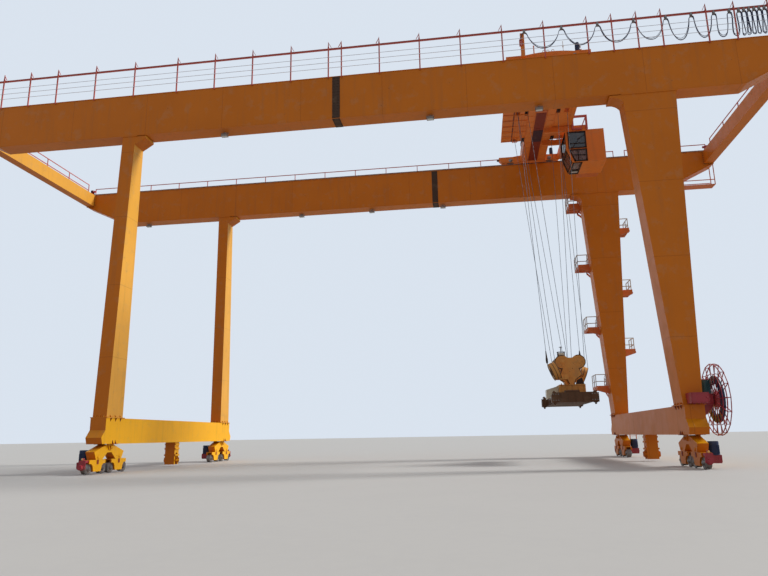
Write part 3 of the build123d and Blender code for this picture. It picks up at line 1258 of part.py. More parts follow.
def spreader_frame():
    """The spreader's main frame with a channel through it for each telescopic arm."""
    half = MAIN_FRAME_WIDTH / 2
    chamfer = MAIN_FRAME_HEIGHT / 4
    section = [(-half, SPREADER_BOTTOM), (half, SPREADER_BOTTOM), (half, SPREADER_TOP - chamfer),
               (half - chamfer, SPREADER_TOP), (-half + chamfer, SPREADER_TOP), (-half, SPREADER_TOP - chamfer)]
    beam = prism([(SPREADER_X + dx, -MAIN_FRAME_HALF, z) for dx, z in section], (0, 2 * MAIN_FRAME_HALF, 0))
    channels = []
    for dx in (-ARM_OUTER_X, -ARM_INNER_X, ARM_INNER_X, ARM_OUTER_X):
        x0 = SPREADER_X + dx - ARM_WIDTH / 2 - ARM_CLEAR
        z0, z1 = arm_heights()
        channels.append(block(x0, x0 + ARM_WIDTH + 2 * ARM_CLEAR, -MAIN_FRAME_HALF - 1, MAIN_FRAME_HALF + 1,
                              z0 - SEAT, z1 + ARM_CLEAR))
    return beam.cut(*channels)


def arm_heights():
    """The bottom and top of the telescopic arms."""
    middle = SPREADER_BOTTOM + MAIN_FRAME_HEIGHT / 2
    return middle - ARM_HEIGHT / 2, middle + ARM_HEIGHT / 2


def spreader_end(side):
    """An end beam of the spreader with a twist lock under each end."""
    y = side * LOCK_SPACING_Y / 2
    half, half_y = END_BEAM_LENGTH / 2, END_BEAM_WIDTH / 2
    top = SPREADER_BOTTOM + END_BEAM_DEPTH
    chamfer = END_BEAM_DEPTH / 4
    section = [(-half, SPREADER_BOTTOM), (half, SPREADER_BOTTOM), (half, top - chamfer), (half - chamfer, top),
               (-half + chamfer, top), (-half, top - chamfer)]
    beam = prism([(SPREADER_X + dx, y - half_y, z) for dx, z in section], (0, END_BEAM_WIDTH, 0))
    locks = [rod((SPREADER_X + dx, y, SPREADER_BOTTOM - LOCK_LENGTH), (SPREADER_X + dx, y, SPREADER_BOTTOM),
                 LOCK_RADIUS) for dx in (-LOCK_SPACING_X / 2, LOCK_SPACING_X / 2)]
    return weld(beam, *locks)


def spreader_arms(side):
    """The two telescopic arms of one end."""
    offset = ARM_INNER_X if side < 0 else ARM_OUTER_X
    start = side * (LOCK_SPACING_Y / 2 - END_BEAM_WIDTH / 2)
    z0, z1 = arm_heights()
    return [block(SPREADER_X + dx - ARM_WIDTH / 2, SPREADER_X + dx + ARM_WIDTH / 2, start,
                  start - side * ARM_LENGTH, z0, z1) for dx in (-offset, offset)]


# The nodes

FOOT = SLENDER_WIDTH / 2
save("near_girder", girder(-1))
save("far_girder", girder(1))
save("girder_splices", *splice(NEAR_SPLICE_X, -1), *splice(FAR_SPLICE_X, 1))
save("crane_rails", crane_rail(-1), crane_rail(1))
save("tie_beams", tie_beam(LEFT_TIP, 1), tie_beam(RIGHT_TIP, -1))
for side, name in ((-1, "near"), (1, "far")):
    save(f"{name}_left_leg", leg(LEFT_RAIL, side, (-FOOT, FOOT), (-FOOT, FOOT), SLENDER_FOOT, SLENDER_HEAD, 1,
                                 False))
    save(f"{name}_right_leg", leg(RIGHT_RAIL, side, (-RIGID_FOOT_WIDTH / 2, RIGID_FOOT_WIDTH / 2),
                                  (-RIGID_HEAD_INNER, RIGID_HEAD_OUTER), RIGID_FOOT, RIGID_HEAD, -1, True))
for rail_x, name in ((LEFT_RAIL, "left"), (RIGHT_RAIL, "right")):
    save(f"{name}_sill_beam", sill(rail_x))
corners = [(rail_x, side) for rail_x in (LEFT_RAIL, RIGHT_RAIL) for side in (-1, 1)]
bogies = [(rail_x, side * (LEG_BASE_Y + out * BOGIE_OFFSET)) for rail_x, side in corners for out in (-1, 1)]
save("equalisers", *[equaliser(*corner) for corner in corners])
save("bogie_frames", *[bogie(*place) for place in bogies])
save("travel_wheels", *[wheel(rail_x, y + out * WHEEL_SPACING / 2) for rail_x, y in bogies for out in (-1, 1)])
save("travel_drives", *[travel_drive(*corner) for corner in corners])
save("travel_motors", *[travel_motor(*corner) for corner in corners])
save("travel_buffers", *[buffer(*corner) for corner in corners])
save("anchor_posts", anchor_post(LEFT_RAIL), anchor_post(RIGHT_RAIL))

save("near_fence", near_fence())
save("cable_track", cable_track())
save("festoon_carriers", *[carrier(x) for x in (*CARRIER_X, *bunch_carriers())])
save("festoon_cable", festoon_cable())
save("festoon_bunch", festoon_bunch())
gap_x = leg_edge(GIRDER_TOP, 1)
rail_y = GIRDER_Y + GIRDER_WIDTH / 2 - HANDRAIL_INSET
save("far_handrail", handrail((LEFT_TIP + HANDRAIL_INSET, rail_y, GIRDER_TOP), (gap_x, rail_y, GIRDER_TOP)),
     handrail((gap_x + LANDING_REACH, rail_y, GIRDER_TOP), (RIGHT_TIP - HANDRAIL_INSET, rail_y, GIRDER_TOP)))
tie_reach = GIRDER_Y - GIRDER_WIDTH / 2 - HANDRAIL_INSET
save("tie_handrails", *[handrail((x, -tie_reach, GIRDER_TOP), (x, tie_reach, GIRDER_TOP))
                        for x in (LEFT_TIP + HANDRAIL_INSET, RIGHT_TIP - HANDRAIL_INSET)])

landings = range(len(LANDING_Z))
save("stair_landings", sill_landing(), *[landing(index) for index in landings], top_landing())
save("stair_flights", ground_ladder(), *[flight(index) for index in range(-1, len(LANDING_Z))])
save("stair_guards", *[guard(*landing_span(index), LANDING_Z[index]) for index in landings])

save("cable_reel", cable_reel())
save("wound_cable", wound_cable())
save("reel_drive", reel_drive(), reel_stand())
save("reel_box", reel_box())
save("girder_floodlights", *[floodlight(x, -1) for x in NEAR_LIGHTS_X], *[floodlight(x, 1) for x in FAR_LIGHTS_X])
save("end_platform", end_platform())

save("trolley_frame", trolley_frame())
save("trolley_wheels", *[trolley_wheel(x, side) for x in wheel_places() for side in (-1, 1)])
save("trolley_deck", *[deck_plate(x0, x1, *DECK_Y) for x0, x1 in DECK_X],
     deck_plate(BEAM_X[0][1], BEAM_X[1][0], -CENTRE_DECK_Y, CENTRE_DECK_Y), *deck_ribs(*DECK_X[0]))
save("hoist_drums", *[hoist_drum(x) for x in drum_places()])
save("drum_pedestals", *[pedestal(x, y) for x in drum_places()
                         for y in (DRUM_Y[0] - PEDESTAL_WIDTH - SEAT, DRUM_Y[1] + SEAT)])
save("hoist_drives", *[hoist_drive(x) for x in drum_places()])
save("rope_guides", *[rope_guide(x, side) for x in guide_places() for side in (-1, 1)])
save("carriage_covers", carriage_cover(-1), carriage_cover(1))
save("tow_arm", tow_arm())
save("cab_body", cab_body())
save("cab_glass", *cab_windows(0))
save("cab_hanger", cab_hanger())
save("cab_bracket", cab_bracket())

save("hoist_ropes", *hoist_ropes())
save("head_block", head_block())
save("rope_sheaves", *[rope_sheave(dx, side) for dx in (-CLOVER_SPAN, CLOVER_SPAN) for side in (-1, 1)])
save("side_blocks", side_block(-1), side_block(1))
save("spreader_frame", spreader_frame())
for side, name in ((-1, "near"), (1, "far")):
    save(f"spreader_end_{name}", spreader_end(side))
    save(f"spreader_arms_{name}", *spreader_arms(side))
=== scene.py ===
"""Paint, cables, fittings and stage for a rail-mounted gantry crane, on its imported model.

It is laid out as a Blender add-on and is run as a script. Lengths are in metres, in the model's frame:
X along the girders, Y across them, Z up.
"""

import json
import math
import random

import bmesh
import bpy
from bpy.props import FloatProperty, FloatVectorProperty, IntProperty, PointerProperty
from bpy.types import Operator, Panel, PropertyGroup
from mathutils import Matrix, Vector


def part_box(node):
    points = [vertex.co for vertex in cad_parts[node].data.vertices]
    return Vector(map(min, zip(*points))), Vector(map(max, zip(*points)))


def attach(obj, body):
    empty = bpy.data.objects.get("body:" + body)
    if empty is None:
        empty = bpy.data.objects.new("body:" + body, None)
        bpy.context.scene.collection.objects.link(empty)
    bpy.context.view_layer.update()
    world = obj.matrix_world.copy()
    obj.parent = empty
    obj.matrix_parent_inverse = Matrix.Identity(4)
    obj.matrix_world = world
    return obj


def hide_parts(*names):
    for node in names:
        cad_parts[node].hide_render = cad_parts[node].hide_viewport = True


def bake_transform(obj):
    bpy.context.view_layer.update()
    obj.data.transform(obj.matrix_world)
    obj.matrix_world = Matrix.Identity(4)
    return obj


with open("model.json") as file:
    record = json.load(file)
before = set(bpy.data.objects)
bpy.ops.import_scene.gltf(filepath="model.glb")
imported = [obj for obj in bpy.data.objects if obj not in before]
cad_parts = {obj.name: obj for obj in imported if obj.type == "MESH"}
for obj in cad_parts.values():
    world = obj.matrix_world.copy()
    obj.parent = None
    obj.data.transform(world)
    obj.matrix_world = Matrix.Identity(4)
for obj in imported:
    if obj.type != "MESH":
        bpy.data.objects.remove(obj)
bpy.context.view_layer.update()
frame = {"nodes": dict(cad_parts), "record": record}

bl_info = {
    "name": "Gantry Crane Dressing",
    "version": (1, 0, 0),
    "blender": (4, 5, 0),
    "location": "View3D > Sidebar > Crane",
    "description": "Paint, cables, fittings and stage for a rail-mounted gantry crane",
    "category": "Object",
}

X_AXIS = Vector((1, 0, 0))
Y_AXIS = Vector((0, 1, 0))
Z_AXIS = Vector((0, 0, 1))

# Places of the bridge, its rails and its legs
GIRDER_Y = 3.7
GIRDER_BOTTOM, GIRDER_TOP = (corner.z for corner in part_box("near_girder"))
RAIL_X = (-6.5, 8.5)
CORNER_Y = 3.9
CRANE_RAIL_Y = 3.4925

# Places of the festoon
TRACK_Y = -3.935
SADDLE_Z = 11.92
SADDLE_HALF = 0.06
SADDLE_GAP = 0.042
BUNCH_PITCH = 0.13
BUNCH_TURNS = 10
CARRIER_X = (5.290, 6.320, 7.300, 8.265, 9.115, 9.780, 10.365, 10.765, 11.005)
# Where a point of the festoon stands still, and where it goes all the way with the trolley
BLEND_X = (12.30, 5.35)

# The festoon's route: how far along X each point is, and how far under the saddles
TOW_END = ((5.158, 0.230), (5.187, 0.125), (5.230, 0.0), (5.350, 0.0))
LOOPS = (
    ((5.403, 0.188), (5.495, 0.358), (5.638, 0.498), (5.805, 0.542), (5.972, 0.496), (6.113, 0.354),
     (6.207, 0.184)),
    ((6.428, 0.194), (6.515, 0.369), (6.650, 0.511), (6.808, 0.556), (6.968, 0.514), (7.101, 0.373),
     (7.192, 0.198)),
    ((7.403, 0.198), (7.487, 0.383), (7.616, 0.528), (7.775, 0.575), (7.934, 0.531), (8.068, 0.388),
     (8.158, 0.204)),
    ((8.358, 0.204), (8.431, 0.394), (8.546, 0.547), (8.689, 0.598), (8.829, 0.552), (8.948, 0.399),
     (9.022, 0.209)),
    ((9.192, 0.218), (9.238, 0.431), (9.320, 0.617), (9.438, 0.698), (9.562, 0.630), (9.650, 0.438),
     (9.700, 0.220)),
    ((9.852, 0.218), (9.886, 0.433), (9.950, 0.616), (10.058, 0.696), (10.172, 0.624), (10.246, 0.436),
     (10.288, 0.219)),
    ((10.424, 0.223), (10.415, 0.442), (10.433, 0.632), (10.520, 0.731), (10.627, 0.673), (10.680, 0.456),
     (10.699, 0.230)),
    ((10.822, 0.220), (10.800, 0.435), (10.796, 0.620), (10.828, 0.712), (10.912, 0.718), (10.952, 0.628),
     (10.962, 0.440), (10.951, 0.218)),
)
BUNCH_LOOP = ((0.056, 0.11), (0.050, 0.30), (0.038, 0.47), (0.026, 0.60), (0.023, 0.705), (0.065, 0.730),
              (0.107, 0.705), (0.104, 0.60), (0.092, 0.47), (0.080, 0.30), (0.074, 0.11))


def colour(name, text, default):
    """A colour that a user would change."""
    return FloatVectorProperty(name=name, description=text, subtype="COLOR", size=3, min=0, max=1,
                               default=default)


def length(name, text, default):
    """A length that a user would change."""
    return FloatProperty(name=name, description=text, subtype="DISTANCE", unit="LENGTH", min=0,
                         default=default)


def angle(name, text, degrees):
    """An angle that a user would change."""
    return FloatProperty(name=name, description=text, subtype="ANGLE", unit="ROTATION",
                         default=math.radians(degrees))


class CranePaints(PropertyGroup):
    """Colours of the crane's paints and bare materials."""

    # The structure's colour is the paint's painted lit tone; the sheltered colour after it is the same paint
    # darkened as painted shade, for faces turned away from the key lamp
    structure: colour("Structure", "Yellow paint of girders, legs and sills where the sun has faded it",
                      (0.84, 0.42, 0.055))
    structure_deep: colour("Structure, sheltered", "The same paint on faces turned away from the sun",
                           (0.58, 0.165, 0.010))
    # The running gear's colour is its painted lit tone, brightened as painted light to make up for the key
    # lamp's soft shadow across the sills; faces turned away from the key lamp take the structure's painted
    # shade tone
    running: colour("Running gear", "Deeper yellow paint of the sills, the bogies and the anchor posts",
                    (1.0, 0.50, 0.004))
    trolley: colour("Trolley", "Orange paint of the trolley and the cab", (0.80, 0.23, 0.045))
    gear: colour("Gear", "Red paint of gearboxes, reel and buffers", (0.42, 0.03, 0.05))
    fence: colour("Fence", "Red paint of posts and cable track", (0.62, 0.13, 0.11))
    landing: colour("Landing", "Red-orange paint of the stair landings", (0.78, 0.20, 0.06))
    guard: colour("Guard", "Pale paint of the guard rails", (0.62, 0.60, 0.58))
    head: colour("Head block", "Ochre paint of the head block", (0.78, 0.39, 0.11))
    spreader: colour("Spreader", "Worn brown paint of the spreader", (0.13, 0.065, 0.035))
    # This dark red also paints the sill ribs, there as painted shade
    strip: colour("Deck strip", "Dark red primer under the trolley's deck", (0.30, 0.045, 0.025))
    hatch: colour("Deck hatch", "Dark cover in the middle of the trolley's deck", (0.07, 0.03, 0.05))
    frame: colour("Window frame", "Dark brown frames of the cab's windows", (0.035, 0.018, 0.014))
    wire: colour("Wire", "Pale grey wires of the near fence", (0.56, 0.59, 0.68))
    navy: colour("Small drive", "Dark blue paint of the trolley's motors", (0.03, 0.05, 0.13))
    amber: colour("Amber lamp", "Glass of the buffers' lamps", (0.85, 0.42, 0.04))
    # This dark primer also paints the inner rope slots' collars, there as painted shade
    splice: colour("Splice", "Dark primer of the splice plates", (0.085, 0.05, 0.035))
    drive: colour("Drive", "Dark teal paint of the motors", (0.04, 0.11, 0.13))
    lamp: colour("Lamp", "Grey paint of lamps and cable carriers", (0.34, 0.35, 0.37))
    panel: colour("Cabinet", "Cream paint of the electrical cabinets", (0.72, 0.68, 0.56))
    cable: colour("Cable", "Sheath of the flexible cables", (0.014, 0.020, 0.075))
    rubber: colour("Rubber", "Rubber of buffers and seals", (0.03, 0.03, 0.032))
    steel: colour("Steel", "Bare steel of wheels and pins", (0.20, 0.19, 0.185))
    rail: colour("Rail", "Rusted steel of the crane rails", (0.30, 0.20, 0.15))
    rope: colour("Rope", "Greased steel of the hoisting ropes", (0.16, 0.18, 0.22))
    rust: colour("Rust", "Rust in the chips of the paint", (0.16, 0.055, 0.022))
    grime: colour("Grime", "Dust and soot that the rain has washed down", (0.16, 0.11, 0.08))
    glass: colour("Glass", "Tinted glass of the cab", (0.055, 0.075, 0.105))
    lens: colour("Lens", "Glass of the floodlights", (0.72, 0.74, 0.76))
    # The lower panes' colour is a painted reflection of the cab's inside and the hoist seen in them
    lower_glass: colour("Lower glass", "Dusty reddish panes in the cab's lower half", (0.17, 0.085, 0.075))


class CraneSizes(PropertyGroup):
    """Sizes of the fittings."""

    strand: length("Cable diameter", "Diameter of each festoon cable", 0.014)
    strand_gap: length("Cable pitch", "Distance between neighbouring festoon cables", 0.015)
    strand_length: length("Cable length", "Real length of each festoon cable", 27.9)
    strands: IntProperty(name="Cables", description="How many cables hang side by side", default=4, min=1,
                         max=6)
    bolt: length("Bolt", "Radius of a structural bolt's head", 0.014)


class CraneView(PropertyGroup):
    """The camera's place and the light."""

    place: FloatVectorProperty(name="Place", description="Where the camera stands", subtype="TRANSLATION",
                               unit="LENGTH", size=3, default=(3.485, -20.476, 0.8426))
    yaw: angle("Yaw", "Turn of the camera from the Y axis towards X", -8.007)
    pitch: angle("Pitch", "Tilt of the camera above the horizon", 12.994)
    roll: angle("Roll", "Turn of the picture", 0.956)
    lens: FloatProperty(name="Lens", description="Focal length on a 36 mm wide sensor, in mm", default=30.09)
    sun: FloatProperty(name="Key lamp", description="Strength of the large soft key lamp", default=2.6, min=0)
    sky: FloatProperty(name="Sky", description="Strength of the even light from all round", default=0.42,
                       min=0)
    sun_place: FloatVectorProperty(name="Key direction", description="Direction towards the key lamp",
                                   subtype="DIRECTION", size=3, default=(0.80, 0.22, 0.56))
    sun_size: angle("Key size", "Apparent size of the key lamp", 14.0)
    floor: colour("Floor", "Pale floor of the stage", (0.56, 0.56, 0.555))
    backdrop: colour("Backdrop", "Pale backdrop of the stage", (0.70, 0.77, 0.86))


# Shader expressions

# Directions and colours that the paints share
# The key lamp's direction: the paints are painted lighter on faces towards it and darker on faces turned
# away, as painted light and shade
PAINTED_LIGHT_SIDE = (0.82, 0.12, 0.55)
FADED = (0.80, 0.76, 0.72)
DUSTED = (0.92, 0.74, 0.52)
SEAM_SHADE = (0.70, 0.66, 0.62)
DULLED = (0.6, 0.6, 0.62)
CABLE_DUST = (0.34, 0.36, 0.40)
GREASE = (0.035, 0.04, 0.055)
# Light dust on the upper panes, and on the lower panes heavier blotches of painted reflection
GLASS_DUST_AND_REFLECTION = (0.42, 0.33, 0.30)
RIB_SHADE = (0.30, 0.30, 0.30)
LAMP_DUST = (0.45, 0.40, 0.34)
TREAD_STAIN = (0.78, 0.74, 0.72)
TREAD_RUB = (0.45, 0.42, 0.40)
LOWER_PANES = (10.26, 10.30)


class Term:
    """A shader node's output that ordinary arithmetic works on."""

    def __init__(self, paint, socket):
        self.paint = paint
        self.socket = socket

    def math(self, operation, first, second=0.0):
        return self.paint.node("ShaderNodeMath", {"operation": operation}, {0: first, 1: second})

    def __add__(self, other):
        return self.math("ADD", self, other)

    __radd__ = __add__

    def __sub__(self, other):
        return self.math("SUBTRACT", self, other)

    def __rsub__(self, other):
        return self.math("SUBTRACT", other, self)

    def __mul__(self, other):
        return self.math("MULTIPLY", self, other)

    __rmul__ = __mul__

    def __truediv__(self, other):
        return self.math("DIVIDE", self, other)

    def __abs__(self):
        return self.math("ABSOLUTE", self)

    def fraction(self):
        """What is left of the value after its whole part."""
        return self.math("FRACT", self)

    def sine(self):
        """The sine of the value, in radians."""
        return self.math("SINE", self)

    def above(self, low, high):
        """A smooth step from 0 at low to 1 at high."""
        return self.paint.node("ShaderNodeMapRange", {"interpolation_type": "SMOOTHSTEP"},
                               {"Value": self, "From Min": low, "From Max": high})


class Paint:
    """A material whose shader is put together from expressions."""

    def __init__(self, name):
        self.material = bpy.data.materials.new(name)
        self.material.use_nodes = True
        self.tree = self.material.node_tree
        self.shader = self.tree.nodes["Principled BSDF"]
        self.output = self.tree.nodes["Material Output"]

    def node(self, kind, settings=None, values=None, output=0):
        """Any node: its settings are set first, then the values or links of its sockets."""
        node = self.tree.nodes.new(kind)
        for name, value in (settings or {}).items():
            setattr(node, name, value)
        for key, value in (values or {}).items():
            self.feed(node.inputs[key], value)
        return Term(self, node.outputs[output])

    def feed(self, socket, value):
        """Link a term to a socket, or set the socket's own value."""
        if isinstance(value, Term):
            self.tree.links.new(value.socket, socket)
        elif socket.type == "RGBA":
            socket.default_value = (*value[:3], 1.0)
        else:
            socket.default_value = value

    def surface(self, **values):
        """Set or feed the Principled shader's sockets."""
        for name, value in values.items():
            self.feed(self.shader.inputs[name.replace("_", " ").title()], value)

    def place(self):
        """The point on the surface, in the model's frame."""
        return self.node("ShaderNodeTexCoord", output="Object")

    def split(self, vector):
        """A vector's three parts."""
        first = self.node("ShaderNodeSeparateXYZ", None, {0: vector})
        return [Term(self, output) for output in first.socket.node.outputs]

    def scaled(self, vector, factors):
        """A vector times a factor on each axis."""
        return self.node("ShaderNodeVectorMath", {"operation": "MULTIPLY"}, {0: vector, 1: factors})

    def facing(self, direction):
        """How far the surface faces a direction, from -1 to 1."""
        normal = self.node("ShaderNodeTexCoord", output="Normal")
        toward = Vector(direction).normalized()
        return self.node("ShaderNodeVectorMath", {"operation": "DOT_PRODUCT"}, {0: normal, 1: toward},
                         "Value")

    def noise(self, vector, scale, detail=4.0, roughness=0.55):
        """Noise from about 0.2 to 0.8."""
        return self.node("ShaderNodeTexNoise", None,
                         {"Vector": vector, "Scale": scale, "Detail": detail, "Roughness": roughness})

    def mix(self, below, above, share, kind="MIX"):
        """Two colours mixed by a share."""
        return self.node("ShaderNodeMix", {"data_type": "RGBA", "blend_type": kind},
                         {0: share, 6: below, 7: above}, 2)

    def lines(self, value, pitch, width):
        """Soft lines that repeat along a value."""
        off = abs((value / pitch).fraction() - 0.5) * pitch
        return 1 - off.above(width * 0.3, width)

    def bump(self, height, distance, strength=1.0):
        """Feed the shader's normal from a height."""
        values = {"Strength": strength, "Distance": distance, "Height": height}
        self.feed(self.shader.inputs["Normal"], self.node("ShaderNodeBump", None, values))


def weathered(name, painted_lit_tone, deep, roughness=0.42, dirt=0.5, chips=0.6, gloss=0.18, seams=0.0, upright=False):
    """Paint on steel plate, with painted light and shade: its lit tone on faces towards the key lamp, its
    darker sheltered tone on faces turned away, and washed-down grime, chips and weld seams.
    """
    paints = bpy.context.scene.crane_paints
    paint = Paint(name)
    place = paint.place()
    patch = paint.noise(place, 0.55, 3.0).above(0.36, 0.64)
    cloud = paint.noise(place, 3.2, 6.0, 0.6)
    grain = paint.noise(place, 55.0, 3.0)
    runs = paint.noise(paint.scaled(place, (6.0, 6.0, 0.45)), 1.0, 5.0, 0.6).above(0.50, 0.72)
    # Painted light and shade: faces towards the key lamp get the lit tone, faces turned away get the darker
    # sheltered tone
    painted_sunlit_share = paint.facing(PAINTED_LIGHT_SIDE).above(0.0, 0.8)
    shade = paint.mix(deep, painted_lit_tone, painted_sunlit_share)
    shade = paint.mix(shade, FADED, patch * 0.30, "MULTIPLY")
    shade = paint.mix(shade, DUSTED, cloud.above(0.52, 0.72) * 0.06)
    grime = (runs * 0.55 + cloud.above(0.50, 0.70) * 0.45) * dirt
    shade = paint.mix(shade, paints.grime, grime * 0.5)
    speck = paint.noise(place, 15.0, 5.0, 0.62)
    chip = speck.above(0.66, 0.69) * cloud.above(0.46, 0.60) * chips
    shade = paint.mix(shade, paints.rust, chip)
    height = grain * 0.10 + cloud * 0.25 - chip * 0.6
    if seams:
        seam = paint.lines(paint.split(place)[2 if upright else 0], seams, 0.012)
        shade = paint.mix(shade, SEAM_SHADE, seam * 0.65, "MULTIPLY")
        height = height + seam
    paint.surface(base_color=shade, roughness=roughness + grime * 0.30 + (cloud - 0.5) * 0.25 + chip * 0.3)
    paint.feed(paint.shader.inputs["Specular IOR Level"], gloss)
    paint.bump(height, 0.004, 0.6)
    return paint.material


def bare(name, tone, roughness=0.45, metal=0.85, rust=0.4):
    """Bare steel: bright where it is rubbed, dull and rusty elsewhere."""
    paints = bpy.context.scene.crane_paints
    paint = Paint(name)
    place = paint.place()
    cloud = paint.noise(place, 5.0, 6.0, 0.6)
    brushed = paint.noise(paint.scaled(place, (90.0, 90.0, 6.0)), 1.0, 3.0)
    stain = paint.noise(place, 13.0, 5.0, 0.6).above(0.47, 0.66) * rust
    shade = paint.mix(tone, paints.rust, stain)
    shade = paint.mix(shade, DULLED, cloud.above(0.45, 0.70) * 0.5, "MULTIPLY")
    paint.surface(base_color=shade, metallic=metal - stain * metal * 0.8,
                  roughness=roughness + stain * 0.35 + (brushed - 0.5) * 0.20)
    paint.bump(brushed * 0.4 + cloud * 0.6 + stain * 0.3, 0.002, 0.5)
    return paint.material


def sheathed(name, tone, roughness=0.6, dust=0.3):
    """Rubber or cable sheath, dull with dust."""
    paint = Paint(name)
    place = paint.place()
    cloud = paint.noise(place, 9.0, 5.0, 0.6)
    grain = paint.noise(place, 160.0, 2.0)
    dusty = cloud.above(0.46, 0.68) * dust
    shade = paint.mix(tone, CABLE_DUST, dusty)
    paint.surface(base_color=shade, roughness=roughness + dusty * 0.3 + (grain - 0.5) * 0.15)
    paint.bump(grain * 0.3 + cloud * 0.3, 0.001, 0.5)
    return paint.material


def roped(name, tone):
    """A greased wire rope: its strands wind round it as slanting ridges."""
    paint = Paint(name)
    place = paint.place()
    x, y, z = paint.split(place)
    wound = (z * 90.0 + x * 420.0 + y * 420.0).sine()
    cloud = paint.noise(paint.scaled(place, (3.0, 3.0, 1.2)), 3.0, 4.0)
    grease = cloud.above(0.45, 0.65)
    shade = paint.mix(tone, GREASE, grease * 0.7 + wound.above(-1.0, -0.4) * 0.1)
    paint.surface(base_color=shade, metallic=0.6 - grease * 0.5, roughness=0.42 + grease * 0.15)
    paint.bump(wound * 0.5, 0.002, 0.6)
    return paint.material


def glazed(name, tone):
    """Tinted window glass with light dust blotches, and on the lower panes a painted reflection: a
    reddish-brown tone with heavier blotches standing in for what is seen in them.
    """
    paint = Paint(name)
    place = paint.place()
    dust_and_reflection_film = paint.noise(paint.scaled(place, (2.0, 2.0, 0.7)), 3.0, 4.0).above(0.45, 0.75)
    # Below these heights the panes get the painted reflection: the reddish-brown tone and heavier blotches
    low = 1 - paint.split(place)[2].above(*LOWER_PANES)
    shade = paint.mix(tone, bpy.context.scene.crane_paints.lower_glass, low)
    shade = paint.mix(shade, GLASS_DUST_AND_REFLECTION, dust_and_reflection_film * (0.12 + low * 0.5))
    paint.surface(base_color=shade, roughness=0.05 + dust_and_reflection_film * 0.10 + low * 0.2)
    paint.surface(transmission_weight=0.35)
    return paint.material


def lens(name, tone):
    """Ribbed lamp glass."""
    paint = Paint(name)
    place = paint.place()
    ribs = (paint.split(place)[0] * 520.0).sine()
    dust = paint.noise(place, 22.0, 4.0).above(0.45, 0.7) * 0.35
    shade = paint.mix(tone, RIB_SHADE, ribs.above(-0.5, 0.8) * 0.3)
    paint.surface(base_color=paint.mix(shade, LAMP_DUST, dust), roughness=0.12 + dust)
    paint.surface(coat_weight=0.6)
    paint.bump(ribs, 0.002, 0.5)
    return paint.material


def treads(name, tone):
    """Painted chequer plate: raised lozenges, bright where boots have rubbed them."""
    paints = bpy.context.scene.crane_paints
    paint = Paint(name)
    place = paint.place()
    x, y = paint.split(place)[:2]
    raised = (((x + y) * 150.0).sine() * ((x - y) * 52.0).sine()).above(0.35, 0.75)
    cloud = paint.noise(place, 4.0, 5.0, 0.6)
    shade = paint.mix(tone, TREAD_STAIN, cloud.above(0.40, 0.66) * 0.7, "MULTIPLY")
    shade = paint.mix(shade, TREAD_RUB, raised * cloud.above(0.50, 0.62) * 0.6)
    shade = paint.mix(shade, paints.grime, (1 - raised) * 0.25)
    paint.surface(base_color=shade, roughness=0.5 + (1 - raised) * 0.2)
    paint.bump(raised, 0.003, 0.7)
    return paint.material


# Painted finishes: colour, share of it on faces turned away from the key lamp as painted shade, roughness,
# dirt, chips and gloss
PAINTED = {
    "trolley_orange": ("trolley", 0.95, 0.42, 0.5, 0.6, 0.18),
    "gear_red": ("gear", 0.78, 0.32, 0.6, 0.7, 0.4),
    "fence_red": ("fence", 0.78, 0.45, 0.4, 0.8, 0.18),
    "landing_red": ("landing", 0.78, 0.45, 0.6, 0.7, 0.18),
    "guard_pale": ("guard", 0.85, 0.45, 0.5, 0.6, 0.18),
    "head_ochre": ("head", 0.8, 0.45, 0.9, 0.9, 0.18),
    "spreader_brown": ("spreader", 0.8, 0.55, 0.9, 1.0, 0.18),
    "splice_dark": ("splice", 0.78, 0.6, 0.3, 0.8, 0.18),
    "drive_teal": ("drive", 0.78, 0.35, 0.5, 0.5, 0.18),
    "drive_navy": ("navy", 0.78, 0.35, 0.4, 0.4, 0.18),
    "lamp_grey": ("lamp", 0.78, 0.4, 0.5, 0.4, 0.18),
    "panel_cream": ("panel", 0.9, 0.4, 0.5, 0.4, 0.18),
    "strip_red": ("strip", 0.78, 0.5, 0.6, 0.5, 0.18),
    "frame_dark": ("frame", 0.78, 0.5, 0.3, 0.5, 0.18),
    "hatch_dark": ("hatch", 0.78, 0.5, 0.4, 0.4, 0.18),
}

# The structure's yellows: colour, dirt, distance between weld seams, and whether it is measured upwards. Each
# colour is a painted lit tone; faces turned away from the key lamp take the structure's painted shade tone
YELLOWS = {
    "structure_yellow": ("structure", 0.5, 2.4, False),
    "leg_yellow": ("structure", 0.5, 2.05, True),
    "running_yellow": ("running", 0.35, 2.4, False),
}

# Other finishes: how each is made, its colour, and the further values of the function that makes it
OTHERS = {
    "landing_tread": (treads, "landing"),
    "wheel_steel": (bare, "steel", 0.42, 0.7, 0.5),
    "rail_steel": (bare, "rail", 0.5, 0.5, 0.8),
    "bolt_steel": (bare, "steel", 0.4, 0.8, 0.4),
    "wire_grey": (bare, "wire", 0.45, 0.4, 0.15),
    "rope_steel": (roped, "rope"),
    "cable_dark": (sheathed, "cable", 0.5, 0.15),
    "rubber_black": (sheathed, "rubber", 0.7, 0.25),
    "cab_glass": (glazed, "glass"),
    "lamp_lens": (lens, "lens"),
    "lamp_amber": (lens, "amber"),
}

FINISHES = {}


